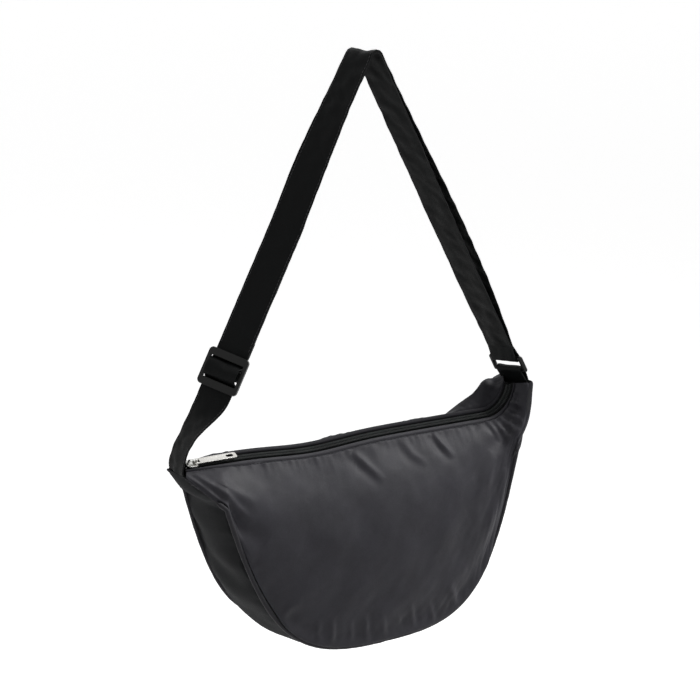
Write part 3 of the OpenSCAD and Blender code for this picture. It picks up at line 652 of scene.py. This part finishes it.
def path_strip(name, path, origin, axes, node, body, seed, wave=0.25):
    """Webbing along a flat path on the axes of an adjuster or a ring."""
    x, y, z = axes
    path = rounded(path)
    place = origin + path[:, 0:1] * y + path[:, 1:2] * z
    run = unit(np.gradient(place, axis=0))
    out = np.cross(x, run)
    u = np.linspace(-0.5, 0.5, PATH_COLUMNS) * STRAP_W
    station = lengths(place)
    calm = smooth(np.minimum(station, station[-1] - station) / PATH_FADE)
    rise = wave * ripples(station[:, None], u[None], PATH_RIPPLE, seed) * calm[:, None]
    outer = place[:, None] + u[None, :, None] * x + (STRAP_T / 2 + rise)[..., None] * out[:, None]
    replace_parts(webbing_sheet(name, outer, np.broadcast_to(out[:, None], outer.shape), out, body), node)


SLOT_H = (ADJUSTER_H - 2 * ADJUSTER_BAR - ADJUSTER_MID) / 2
BAR_EDGE = ADJUSTER_MID / 2 + SLOT_H
LOOP_Y = ADJUSTER_MID / 2 + SEAT + STRAP_T / 2
LOOP_Z = ADJUSTER_T / 2 + SEAT + STRAP_T / 2
FRONT_Z = LOOP_Z + STRAP_T + SEAT
SLOT_MID = (LOOP_Y + STRAP_T / 2 + BAR_EDGE) / 2

# Both paths are points (up the strap, out of its front); the bend's top half is mirrored below
BEND_HALF = [(BEND_REACH + 0.6, BEHIND), (BAR_EDGE + STRAP_T, BEHIND), (BAR_EDGE - 0.4, BEHIND + 0.4),
             (SLOT_MID + 0.2, 0), (SLOT_MID - 0.3, FRONT_Z * 0.6), (LOOP_Y + 1.6, FRONT_Z + 0.4),
             (LOOP_Y - 1.3, FRONT_Z + 1.9)]
BEND = [(-a, b) for a, b in BEND_HALF] + [(0, FRONT_Z + 2.9)] + BEND_HALF[::-1]
NEXT_Z, LAST_Z = BEHIND - LAYER_PITCH, BEHIND - 2 * LAYER_PITCH
LOOP = [(LOOP_TOP, LAST_Z), (SLOT_MID, LAST_Z), (0, -LOOP_Z), (-LOOP_Y, -LOOP_Z), (-LOOP_Y, 0),
        (-LOOP_Y, LOOP_Z), (0, LOOP_Z), (LOOP_Y, LOOP_Z), (LOOP_Y, 0), (SLOT_MID, NEXT_Z),
        (BAR_EDGE, NEXT_Z), (BEND_REACH, NEXT_Z)]
path_strip("strap_threaded_cloth", BEND, ADJ_O, ADJ_AXES, "strap_threaded_bend", "adjuster", 51)
path_strip("strap_loop_cloth", LOOP, ADJ_O, ADJ_AXES, "strap_end_loop", "adjuster", 52)

# The lower run, a curve from the sewn end at the left corner up to the adjuster
SEWN_ROWS, LOWER_ROWS, LOWER_SEED = 14, 26, 3
SEWN = MOUTH + np.array([-CORNER_X - CORNER_REACH, 0.0, PIPING_R - 2 * SEAT])
LOWER_TOP = -ADJUSTER_RUN - BEND_REACH - BUTT - FOLD_ARC
lower_end, lower_run = (q[0] for q in over_fold(np.array([LOWER_TOP]), OUTER)[:2])
lower_len = norm(lower_end - SEWN)
LOWER = [SEWN, SEWN + np.array([0, 0, LOWER_BEND[0] * lower_len]),
         lower_end - LOWER_BEND[1] * lower_len * lower_run, lower_end]


def lower_stations(t):
    t = np.asarray(t, float)
    twist = mix(SEWN_TWIST, ADJUSTER_TWIST, smooth((t - LOWER_TWIST) / (1 - LOWER_TWIST)))
    place = bezier(t, *LOWER)
    p, q, r, s = LOWER
    t = t[:, None]
    run = unit(3 * (1 - t) ** 2 * (q - p) + 6 * (1 - t) * t * (r - q) + 3 * t ** 2 * (s - r))
    return place, run, twist


def lower_piece(name, node, start, end, rows):
    pieces = strap_sheet(name, *lower_stations(np.linspace(start, end, rows)), None, LOWER_SEED)
    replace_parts(pieces[0], node)
    blended(pieces, lower_stations([start])[0][0], lower_stations([end])[0][0])


lower_piece("strap_sewn_end_cloth", "strap_sewn_end", 0, SEWN_END_SHARE, SEWN_ROWS)
lower_piece("strap_lower_cloth", "strap_lower_run", SEWN_END_SHARE, 1, LOWER_ROWS)


# Cloth simulation of the shell
SIM_FRAMES, SHIFT_CAP, CALM_PASSES, GRAVITY_SHARE, TINY = 36, 5.0, 3, 0.1, 1e-9
CLOTH_RULES = dict(quality=8, mass=0.002, air_damping=1.0, tension_stiffness=20.0, compression_stiffness=20.0,
                   shear_stiffness=8.0, vertex_group_mass="held", use_pressure=True)
PANEL_RULES = dict(CLOTH_RULES, bending_stiffness=0.6, uniform_pressure_force=60.0, shrink_min=-0.007)
GUSSET_RULES = dict(CLOTH_RULES, bending_stiffness=0.4, uniform_pressure_force=40.0, shrink_min=-0.008)


def cubic(field, count, axis):
    """A field drawn out to more stations along an axis, through smooth curves."""
    field = np.moveaxis(field, axis, 0)
    at = np.linspace(0, len(field) - 1, count)
    base = np.clip(at.astype(int), 0, len(field) - 2)
    t = (at - base).reshape((-1,) + (1,) * (field.ndim - 1))
    near = [field[np.clip(base + k, 0, len(field) - 1)] for k in (-1, 0, 1, 2)]
    out = near[1] + 0.5 * t * (near[2] - near[0] + t * (2 * near[0] - 5 * near[1] + 4 * near[2] - near[3]
                                                        + t * (3 * (near[1] - near[2]) + near[3] - near[0])))
    return np.moveaxis(out, 0, axis)


def cloth_shift(grid, flip, rules):
    """How a patch of cloth with its rim held moves when it is cut a little too large and is filled."""
    n, m = grid.shape[:2]
    mesh = bpy.data.meshes.new("patch")
    mesh.from_pydata((grid.reshape(-1, 3) * MM).tolist(), [], grid_faces(n, m, flip))
    obj = link("patch", mesh)
    rim = [i * m + j for i in range(n) for j in range(m) if i in (0, n - 1) or j in (0, m - 1)]
    obj.vertex_groups.new(name="held").add(rim, 1.0, "REPLACE")
    cloth = obj.modifiers.new("cloth", "CLOTH")
    for key, value in rules.items():
        setattr(cloth.settings, key, value)
    cloth.settings.effector_weights.gravity = GRAVITY_SHARE
    cloth.collision_settings.use_self_collision = False
    cloth.point_cache.frame_end = SIM_FRAMES
    for k in range(1, SIM_FRAMES + 1):
        scene.frame_set(k)
    shape = evaluated(obj).data
    after = np.empty(3 * n * m)
    shape.vertices.foreach_get("co", after)
    bpy.data.objects.remove(obj)
    scene.frame_set(1)
    shift = after.reshape(n, m, 3) / MM - grid
    for _ in range(CALM_PASSES):
        shift[1:-1, 1:-1] = (shift[:-2, 1:-1] + shift[2:, 1:-1] + shift[1:-1, :-2] + shift[1:-1, 2:]
                             + 2 * shift[1:-1, 1:-1]) / 6
    size = np.maximum(norm(shift, True), TINY)
    return shift / size * SHIFT_CAP * np.tanh(size / SHIFT_CAP)


def settled(make, columns, rows, coarse, flip, rules):
    """A patch's fine grid, moved as its coarse copy moves in the simulation."""
    fine = make(columns, rows)
    shift = cloth_shift(make(*coarse), flip, rules)
    return fine + cubic(cubic(shift, columns, 0), rows, 1)


# Panels: rows of the hem as (share across, height), the cloth's own thickness and the lining inside it
HEM_ROWS = [(0.3, 0.25), (0.1, 0.3), (0.0, 0.9), (0.02, 1.6), (0.08, 2.2), (0.2, 2.7), (0.34, 2.75),
            (0.48, 2.35)]
SHELL_T, LINING_GAP, LINING_T = 0.9, 0.8, 0.4
LINING_TRIM, LINING_STEP, LINING_INSET, TRIM = 4, (3, 2), 22, 6

# A fold's profile: where it is highest, how it tapers, and the hollow on its lower side
FOLD_LEAD, FOLD_TAPER, HOLLOW, HOLLOW_AT, HOLLOW_W = 0.8, 0.7, 0.6, 1.8, 1.3


def fold_rise(grid, line, height, width):
    """Rise of the cloth at a soft fold along a line: high on the line and hollow on its lower side."""
    steps = norm(np.diff(line, axis=0))
    before = lengths(line)
    near = np.full(grid.shape[:2], np.inf)
    aside = np.zeros_like(near)
    place = np.zeros_like(near)
    for k, (a, b) in enumerate(zip(line[:-1], line[1:])):
        d = b - a
        t = np.clip((grid - a) @ d / (d @ d), 0, 1)
        off = grid - a - t[..., None] * d
        far = norm(off)
        closer = far < near
        near = np.where(closer, far, near)
        aside = np.where(closer, np.sign(np.cross(d, off)[..., 1]), aside)
        place = np.where(closer, before[k] + t * steps[k], place)
    taper = np.sin(pi * np.clip(place / before[-1], 0, 1) ** FOLD_LEAD) ** FOLD_TAPER
    x = aside * near / width
    return height * taper * (np.exp(-x ** 2) - HOLLOW * bell(x, HOLLOW_AT, HOLLOW_W))


# Folds of the front, as shares along and down the panel, with height and width
FRONT_FOLDS = [
    ([(0.012, 0.25), (0.04, 0.5), (0.075, 0.62), (0.15, 0.54)], 2.6, 4.0),
    ([(0.05, 0.3), (0.1, 0.36), (0.16, 0.32)], 1.4, 5.0),
    ([(0.078, 0.98), (0.12, 0.74), (0.185, 0.6)], -3.6, 10.0),
    ([(0.452, 0.012), (0.48, 0.08), (0.51, 0.17)], 1.5, 4.0),
    ([(0.6, 0.01), (0.61, 0.07), (0.64, 0.14)], 0.9, 4.0),
    ([(0.695, 0.005), (0.705, 0.06), (0.722, 0.15)], 1.8, 3.5),
    ([(0.93, 0.9), (0.9, 0.875), (0.838, 0.735), (0.752, 0.745), (0.67, 0.85)], 1.5, 7.0),
    ([(0.88, 0.32), (0.835, 0.345), (0.79, 0.41), (0.72, 0.5)], 1.8, 7.0),
    ([(0.97, 0.85), (0.948, 0.765), (0.905, 0.415), (0.85, 0.36)], 2.2, 4.5),
    ([(0.87, 0.6), (0.8, 0.55), (0.73, 0.6)], 1.3, 6.0),
    ([(0.955, 0.3), (0.93, 0.2), (0.89, 0.17)], 1.8, 3.5),
    ([(0.3, 0.35), (0.38, 0.42), (0.46, 0.4)], 0.9, 12.0),
    ([(0.25, 0.98), (0.27, 0.86), (0.3, 0.78)], 1.2, 4.0),
    ([(0.65, 0.98), (0.645, 0.9), (0.63, 0.82)], 1.3, 4.0),
]

# Short ripples that run up from the bottom seam: share along, upper end, height
SEAM_RIPPLES = [(0.35, 0.86, 0.8), (0.383, 0.83, 1.1), (0.425, 0.85, 0.9), (0.455, 0.83, 1.2),
                (0.487, 0.85, 0.9), (0.515, 0.87, 0.6), (0.542, 0.83, 1.1), (0.583, 0.86, 0.9)]

# Gathers that run down from the hem round its last bend: share along, lower end, height, width
HEM_GATHERS = [(0.865, 0.25, 1.2, 2.2), (0.885, 0.35, 1.6, 2.4), (0.905, 0.45, 1.8, 2.6),
               (0.928, 0.7, 2.2, 3.0), (0.952, 0.8, 2.4, 3.2), (0.976, 0.85, 2.0, 3.0)]
FRONT_FOLDS += [([(s + 0.004, 0.99), (s, 0.9), (s - 0.005, v)], h, 2.8) for s, v, h in SEAM_RIPPLES]
FRONT_FOLDS += [([(s, 0.0), (s + 0.008, v / 2), (s + 0.012, v)], h, width) for s, v, h, width in HEM_GATHERS]
BACK_FOLDS = [
    ([(0.06, 0.9), (0.12, 0.6), (0.2, 0.5)], 2.0, 6.0),
    ([(0.3, 0.1), (0.36, 0.3), (0.38, 0.5)], 1.4, 8.0),
    ([(0.93, 0.85), (0.86, 0.65), (0.76, 0.6)], 2.2, 7.0),
    ([(0.55, 0.02), (0.56, 0.1), (0.6, 0.2)], 1.3, 4.0),
    ([(0.62, 0.97), (0.6, 0.85), (0.55, 0.78)], 1.3, 5.0),
    ([(0.42, 0.98), (0.42, 0.88), (0.4, 0.82)], 1.0, 3.5),
]

# The back's crest, lifted further: where it starts early, and by how much
EARLY_AT, EARLY_W, EARLY_LIFT, CREST_LIFT, CREST_HOLD = 0.73, 0.06, 3.0, 3.5, 3

# Puckers under the hem and by the seam: height, stretch, size and reach; broad and fine unevenness
HEM_PUCKER, SEAM_PUCKER = (0.3, 0.35, 7.0, 7), (0.3, 0.3, 10.0, 12)
UNEVEN = ((0.4, 46.0), (0.07, 17.0))
HEM_CALM, SEAM_FROM, SEAM_CALM, KNOB_CALM, KNOB_CALM_AT = 1.5, 3, 9, 14, (0.75, 0.1)
STITCH_DIP, STITCH_DIP_W = 1.2, 1.3

# Along the seam: where the cloth hangs over the piping, and the groove beside the piping elsewhere
OVER_FROM, OVER_TO, OVER_FADE, LEFT_TO, LEFT_FADE, LOW_ROWS = 0.22, 0.76, 0.06, 0.3, 0.1, 0.4
GROOVE, LEFT_GROOVE, GROOVE_AT, GROOVE_W, LEFT_BARE = 0.6, 2.6, 2, 2.2, 0.8
SEAM_SWELL, OVER_SWELL, SWELL_AT, SWELL_W = 0.5, 2.4, 3, 7
SEAM_EDGE, SWELL_FADE, HANG_FADE = 1, 2, 3
HANG, KNOB_HANG, HANG_AT, HANG_W, HANG_FROM, HANG_OUT = 1.2, 2.0, 4, 5, (0.93, 0.03), 0.3


def panel_shares(columns, rows):
    """Shares along and down a panel; the rows lie closer together under the hem and at the seam."""
    t = np.linspace(0, 1, rows)
    return np.meshgrid(np.linspace(0, 1, columns), mix(t, (1 - np.cos(pi * t)) / 2, 0.6), indexing="ij")


def surface_rise(flat, side, s, v, u_mm, v_mm, seam_mm, folds, seed):
    """Folds, puckers and unevenness of a panel, calm at its edges."""
    rise = np.zeros_like(s)
    for line, height, width in folds:
        places = np.array(line)
        rise += fold_rise(flat, panel_at(places[:, 0], side, places[:, 1]), height, width)
    for k, ((height, stretch, size, reach), off) in enumerate(((HEM_PUCKER, v_mm), (SEAM_PUCKER, seam_mm))):
        rise += height * ripples(u_mm, stretch * v_mm, size, seed + k) * np.exp(-off / reach)
    broad, fine = (height * ripples(u_mm, v_mm, size, seed + 2 + k) for k, (height, size) in enumerate(UNEVEN))
    rise += broad + fine
    calm = mix(SEAM_CALM, KNOB_CALM, smooth((s - KNOB_CALM_AT[0]) / KNOB_CALM_AT[1]))
    rise *= smooth(v_mm / HEM_CALM) * smooth((seam_mm - SEAM_FROM) / calm)
    return rise - STITCH_DIP * np.exp(-(v_mm / STITCH_DIP_W) ** 2)


def seam_rise(s, seam_mm, under, over):
    """The groove beside the piping and the swell of the cloth next to it."""
    left = 1 - smooth((s - LEFT_TO) / LEFT_FADE)
    closed = np.maximum(bare(s) * np.where(s > 0.5, 1.0, LEFT_BARE), over)
    groove = (GROOVE + LEFT_GROOVE * left) * (1 - closed) * smooth(1 - (seam_mm - GROOVE_AT) / GROOVE_W) * under
    swell = ((SEAM_SWELL + OVER_SWELL * over) * bell(np.maximum(seam_mm, SWELL_AT), SWELL_AT, SWELL_W)
             * smooth((seam_mm - SEAM_EDGE) / SWELL_FADE) * under)
    return swell, groove


def shell_panel(side, name, columns, rows, node, seed, coarse, folds, material):
    """A panel of the shell with its hem, its topstitching and the lining inside it."""
    def make(columns, rows):
        s, v = panel_shares(columns, rows)
        return panel_at(s, side, v)

    s, v = panel_shares(columns, rows)
    flat = make(columns, rows)
    body = settled(make, columns, rows, coarse, side < 0, PANEL_RULES)
    if side > 0:
        held = crest(s, v) / CREST_H
        body = mix(body, flat, smooth(held * CREST_HOLD)[..., None])
        early = bell(s, EARLY_AT, EARLY_W) * np.sin(pi * np.clip(v / CREST_ROWS, 0, 1))
        body = body + stack(0.0, 0.0, EARLY_LIFT * early + CREST_LIFT * held)
    out = grid_normals(body, side)
    u_mm, v_mm = lengths(flat, 0), lengths(flat, 1)
    seam_mm = norm(flat - seam(s[:, 0], side)[:, None])
    under = v > LOW_ROWS
    over = smooth((s - OVER_FROM) / OVER_FADE) * (1 - smooth((s - OVER_TO) / OVER_FADE))
    swell, groove = seam_rise(s, seam_mm, under, over)
    rise = surface_rise(flat, side, s, v, u_mm, v_mm, seam_mm, folds, seed) - groove + swell
    body = body + rise[..., None] * out
    hang = (smooth((seam_mm - SEAM_EDGE) / HANG_FADE) * bell(np.maximum(seam_mm, HANG_AT), HANG_AT, HANG_W)
            * under * (HANG * over + KNOB_HANG * smooth((s - HANG_FROM[0]) / HANG_FROM[1])))
    body = body + hang[..., None] * (seam_out(s) + HANG_OUT * out)
    hem = np.stack([hem_point(s[:, 0], side, t, up) for t, up in HEM_ROWS], 1)
    grid = np.concatenate([hem, body], axis=1)
    normals = grid_normals(grid, side)
    obj = sheet_object(name, grid, normals, SHELL_T, side < 0, ("bag", "shell_cloth", material))
    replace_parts(obj, node)
    row, inner = len(HEM_ROWS), slice(len(HEM_ROWS) + TRIM, -TRIM)
    lining(node.replace("panel", "lining"), grid[:, inner], normals[:, inner], side < 0,
           "lining_" + node.split("_")[0])
    stitch_object(name + "_topstitch", grid[TRIM:-TRIM, row], normals[TRIM:-TRIM, row],
                  ("bag", "shell_cloth", THREAD), stitch=2.3, gap=1.3, radius=0.4)


def lining(name, outer, normals, flip, node):
    """The lining, a thin sheet just inside the shell."""
    picked = slice(LINING_TRIM, -LINING_TRIM, LINING_STEP[0]), slice(None, None, LINING_STEP[1])
    inside = (outer - (SHELL_T + LINING_GAP) * normals)[picked]
    look = ("bag", "lining_cloth", LINING)
    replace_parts(sheet_object(name, inside, normals[picked], LINING_T, flip, look), node)


shell_panel(-1, "front_cloth", 300, 124, "front_panel", 5, (84, 40), FRONT_FOLDS, SHELL)
shell_panel(1, "back_cloth", 200, 84, "back_panel", 6, (70, 34), BACK_FOLDS, BACK_SHELL_PAINTED_SHADE)

# Gusset: its grids, its margin beside the piping, ripples, and the pleats at the left pinch
GUSSET_GRID, GUSSET_COARSE, GUSSET_MARGIN = (220, 40), (110, 18), 1.6
GUSSET_BROAD, GUSSET_FINE = (0.8, 0.35, 34.0, 31), (0.4, 0.4, 12.0, 32, 9)
PLEAT_AT, PLEAT_W, PLEAT_H, PLEAT_PITCH, PLEAT_ROWS = PINCH_SHARE / 2 + 0.008, 0.02, 0.6, 9.0, (0.2, 0.8)
GUSSET_CALM, GUSSET_GROOVE, GUSSET_GROOVE_W = 4, 2.4, 1.8
CORNER_PUFF, PUFF_AT, PUFF_W = 2.5, 0.04, 0.022


def gusset_shares(columns, rows):
    """Shares along and across the gusset; the rows lie closer together at its seams."""
    t = np.linspace(-1, 1, rows)
    return np.meshgrid(np.linspace(0, 1, columns), mix(t, np.sin(pi / 2 * t), 0.7), indexing="ij")


def gusset_body(columns, rows):
    s, w = gusset_shares(columns, rows)
    return gusset_at(s, w, GUSSET_MARGIN)


def gusset_piece():
    grid = settled(gusset_body, *GUSSET_GRID, GUSSET_COARSE, True, GUSSET_RULES)
    s, w = gusset_shares(*GUSSET_GRID)
    u_mm, w_mm = lengths(grid, 0), lengths(grid, 1)
    edge = np.minimum(w_mm, w_mm[:, -1:] - w_mm)
    height, stretch, size, seed = GUSSET_BROAD
    rise = height * ripples(stretch * w_mm, u_mm, size, seed)
    height, stretch, size, seed, reach = GUSSET_FINE
    rise = rise + height * ripples(u_mm, stretch * w_mm, size, seed) * np.exp(-edge / reach)
    pleats = PLEAT_H * bell(s, PLEAT_AT, PLEAT_W) * np.sin(2 * pi * u_mm / PLEAT_PITCH)
    rise = rise + pleats * smooth((PLEAT_ROWS[0] - w) / PLEAT_ROWS[1])
    rise = rise * smooth(edge / GUSSET_CALM) - GUSSET_GROOVE * (1 - bare(s)) * smooth(1 - edge / GUSSET_GROOVE_W)
    rise += CORNER_PUFF * bell(s, PUFF_AT, PUFF_W) * (1 - w ** 2) ** 2
    grid = grid + rise[..., None] * grid_normals(grid, -1)
    normals = grid_normals(grid, -1)
    look = ("bag", "gusset_cloth", GUSSET_PAINTED_SHADE)
    obj = sheet_object("gusset_cloth_piece", grid, normals, SHELL_T, True, look)
    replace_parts(obj, "gusset")
    inner = slice(LINING_INSET, -LINING_INSET), slice(TRIM, -TRIM)
    lining("gusset_lining", grid[inner], normals[inner], True, "lining_gusset")


gusset_piece()


# Piping: a round cord in its cover, a little uneven, thin where the seam is bare
CORD_SIDES, CORD_R, CORD_BARE_R, CORD_ROUGH, CORD_RIPPLE, CORD_SEED = 16, 2.1, 0.3, 0.025, 9.0, 41
CORD_BEND, CORD_BEND_ROWS, CORD_ROWS = 0.12, 60, 300


def piping(side, word):
    s = np.concatenate([np.linspace(0, CORD_BEND, CORD_BEND_ROWS), np.linspace(CORD_BEND, 1, CORD_ROWS)[1:]])
    radius = mix(CORD_R, CORD_BARE_R, bare(s))
    centre, run = seam(s, side), seam_run(s, side)
    a = seam_out(s)
    b = np.cross(run, a)
    turn = np.arange(CORD_SIDES) * 2 * pi / CORD_SIDES
    rough = 1 + CORD_ROUGH * ripples(lengths(centre)[:, None], 3 * turn[None], CORD_RIPPLE, CORD_SEED + side)
    rings = centre[:, None] + (radius[:, None] * rough)[..., None] * (
        np.cos(turn)[None, :, None] * a[:, None] + np.sin(turn)[None, :, None] * b[:, None])
    around = np.cumsum(norm(rings - np.roll(rings, 1, axis=1)), axis=1)
    uv = np.stack([np.repeat(lengths(rings.mean(1))[:, None], CORD_SIDES, 1), around], -1)
    cord = finish_mesh(f"{word}_piping_cord", rings, ring_walls(len(s), CORD_SIDES), uv,
                       ("bag", "piping_cloth", PIPING))
    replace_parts(cord, f"{word}_piping")


# Zip: tapes from under the coils to under the hems, and the elements of two coils that mesh
TAPE_INNER, TAPE_T, TAPE_SINK, TAPE_END, TAPE_GRID = 1.45, 0.6, 0.05, 0.002, (220, 8)
COIL_H, COIL_LIFT, SLIDER_PLACE, COIL_START, COIL_END, COIL_PITCH = 2.2, 0.1, 8.5, 4, 2, 1.5
ELEMENT_OUT, ELEMENT_HALF, ELEMENT_R, ELEMENT_FLAT = 1.55, 1.35, 0.56, 1.75


def zip_tape(side, word):
    s = np.linspace(TAPE_END, 1 - TAPE_END, TAPE_GRID[0])
    far = FOLD_GAP + hem_at(s) - CORNER_HEM * HEM_W
    out = TAPE_INNER + (far - TAPE_INNER)[:, None] * np.linspace(0, 1, TAPE_GRID[1])
    h = heading(s * ZIP_LEN)
    grid = (zip_at(s * ZIP_LEN)[:, None] + out[..., None] * mouth_out(h, side)[:, None]
            - TAPE_SINK * mouth_up(h)[:, None])
    tape = sheet_object(f"zip_tape_{word}_cloth", grid, grid_normals(grid, side), TAPE_T, side < 0,
                        ("bag", "zip_tape", TAPE))
    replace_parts(tape, f"zip_tape_{word}")


def zip_coil(side, word):
    start = SLIDER_PLACE + COIL_START + (COIL_PITCH / 2 if side > 0 else 0)
    a = np.arange(start, ZIP_LEN - COIL_END, COIL_PITCH)
    h = heading(a)
    out, up = mouth_out(h, side), mouth_up(h)
    centre = zip_at(a) + ELEMENT_OUT * out + (COIL_H / 2 + COIL_LIFT) * up
    coil = pills_object(f"zip_coil_{word}_teeth", centre, out, up, ELEMENT_HALF, ELEMENT_R, ELEMENT_FLAT,
                        ("bag", "zip_coil", COIL))
    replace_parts(coil, f"zip_coil_{word}")


for make_piece in (piping, zip_tape, zip_coil):
    make_piece(-1, "front")
    make_piece(1, "back")

# Hardware: the frame's own forms with their edges rounded off
WELD_M, FLAT_TURN, EDGE_TURN, EDGE_STEPS = 1e-6, 1.0, 40, 3


def softened(name, node, edge, body, material):
    work = bmesh.new()
    work.from_mesh(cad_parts[node].data)
    bmesh.ops.remove_doubles(work, verts=work.verts, dist=WELD_M)
    bmesh.ops.dissolve_limit(work, angle_limit=radians(FLAT_TURN), verts=work.verts, edges=work.edges)
    mesh = bpy.data.meshes.new(name)
    work.to_mesh(mesh)
    work.free()
    mesh.shade_smooth()
    obj = link(name, mesh)
    if edge:
        bevel = obj.modifiers.new("edge", "BEVEL")
        bevel.width, bevel.segments, bevel.limit_method = edge * MM, EDGE_STEPS, "ANGLE"
        bevel.angle_limit, bevel.harden_normals = radians(EDGE_TURN), True
        done = bpy.data.meshes.new_from_object(evaluated(obj))
        obj.modifiers.clear()
        obj.data = done
    obj.data.materials.clear()
    obj.data.materials.append(material)
    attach(obj, body)
    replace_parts(obj, node)


softened("adjuster_slide", "adjuster", 0.7, "adjuster", PLASTIC)
softened("ring_moulding", "ring", 0.0, "ring", PLASTIC)
softened("slider_body", "zip_slider", 0.35, "slider", CHROME)
softened("slider_crown", "zip_crown", 0.3, "slider", CHROME)
softened("puller_plate", "zip_puller", 0.3, "puller", SATIN)

# The strap's turn round the ring's upper bar, and the tab round its lower one down into the corner
RING_UP = -leg_down(1)
RING_X = across(RING_UP[None], np.array([RING_TWIST]))[0]
RING_AXES = (RING_X, RING_UP, np.cross(RING_X, RING_UP))
RING_O = FOLD_MIDDLE + BUNDLE_R * leg_out(1) + RING_RUN * leg_down(1)
TURN_R = RING_BAR_D / 2 + RUNNING + STRAP_T / 2
TAB_END, TAB_HALF_GAP, TURN_WAVE = -TAB_L - 9, 0.8, 0.1
HALF_RING = [(TURN_R * sin(t), TURN_R * cos(t)) for t in np.linspace(0, pi, 9)]
TURN = [(TURN_L, LAYER_PITCH / 2)] + [(-a, b) for a, b in HALF_RING] + [(TURN_L, -LAYER_PITCH / 2)]
TAB = [(TAB_END, TAB_HALF_GAP)] + HALF_RING + [(TAB_END, -TAB_HALF_GAP)]
path_strip("strap_turn_cloth", TURN, RING_O, RING_AXES, "strap_ring_turn", "ring", 61, TURN_WAVE)
path_strip("ring_tab_cloth", TAB, RING_O - RING_PITCH * RING_UP, RING_AXES, "ring_tab", "bag", 62, TURN_WAVE)

# Studio: white for the camera and in gloss, a low even light for everything else
AMBIENT, CENTRE = 0.2, (0.0, 0.0, -0.3)
FLOOR_HALF, FLOOR_Z, FLOOR_TONE, FLOOR_ROUGH, FLOOR_GLOW = 12.0, -1.2, 0.9, 0.8, 0.75


def seen_directly(tree):
    """One for rays from the camera, or through glass and gloss."""
    path = tree.nodes.new("ShaderNodeLightPath")
    first = calc(tree, "MAXIMUM", path.outputs["Is Camera Ray"], path.outputs["Is Transmission Ray"])
    return calc(tree, "MAXIMUM", first, path.outputs["Is Glossy Ray"])


def studio_world():
    world = bpy.data.worlds.new("studio")
    scene.world = world
    world.use_nodes = True
    tree = world.node_tree
    ambient, white = tree.nodes["Background"], add(tree, "ShaderNodeBackground")
    for node, strength in ((ambient, AMBIENT), (white, 1.0)):
        node.inputs["Color"].default_value = (1, 1, 1, 1)
        node.inputs["Strength"].default_value = strength
    choose = tree.nodes.new("ShaderNodeMixShader")
    wire(tree, seen_directly(tree), choose.inputs[0])
    wire(tree, ambient.outputs[0], choose.inputs[1])
    wire(tree, white.outputs[0], choose.inputs[2])
    wire(tree, choose.outputs[0], tree.nodes["World Output"].inputs[0])


def soft_light(name, place, size, power):
    light = bpy.data.lights.new(name, "AREA")
    light.shape, light.size, light.energy = "DISK", size, power
    obj = link(name, light)
    obj.location = place
    obj.rotation_euler = (Vector(CENTRE) - Vector(place)).to_track_quat("-Z", "Y").to_euler()


def pale_floor():
    mesh = bpy.data.meshes.new("floor")
    sides = ((-1, -1), (1, -1), (1, 1), (-1, 1))
    mesh.from_pydata([(x * FLOOR_HALF, y * FLOOR_HALF, FLOOR_Z) for x, y in sides], [], [(0, 1, 2, 3)])
    material, tree, shader = node_material("pale_floor", (FLOOR_TONE,) * 3, FLOOR_ROUGH)
    mesh.materials.append(material)
    shader.inputs["Emission Color"].default_value = (1, 1, 1, 1)
    glow = calc(tree, "MULTIPLY", seen_directly(tree), FLOOR_GLOW)
    wire(tree, glow, shader.inputs["Emission Strength"])
    floor = link("floor", mesh)


def fitted_camera():
    data = bpy.data.cameras.new("camera")
    data.sensor_width, data.lens = SENSOR_MM, FOCAL_PX * SENSOR_MM / IMAGE_PX
    data.clip_start, data.clip_end = 0.05, 20.0
    camera = link("camera", data)
    behind = Vector((sin(VIEW_AZ) * cos(VIEW_EL), -cos(VIEW_AZ) * cos(VIEW_EL), sin(VIEW_EL)))
    right = Vector((cos(VIEW_AZ), sin(VIEW_AZ), 0.0))
    up = behind.cross(right)
    turned = Matrix((right, up, behind)).transposed().to_4x4()
    turned.translation = Vector(MOUTH * MM) + behind * VIEW_DIST + right * VIEW_RIGHT + up * VIEW_UP
    camera.matrix_world = turned
    scene.camera = camera


studio_world()
soft_light("key", (1.55, -0.3, 1.15), 0.9, 50)
soft_light("fill", (0.4, -2.0, 0.5), 1.4, 1.5)
soft_light("rim", (0.3, 1.4, 1.0), 1.2, 5)
pale_floor()
fitted_camera()
scene.view_settings.view_transform = "Standard"
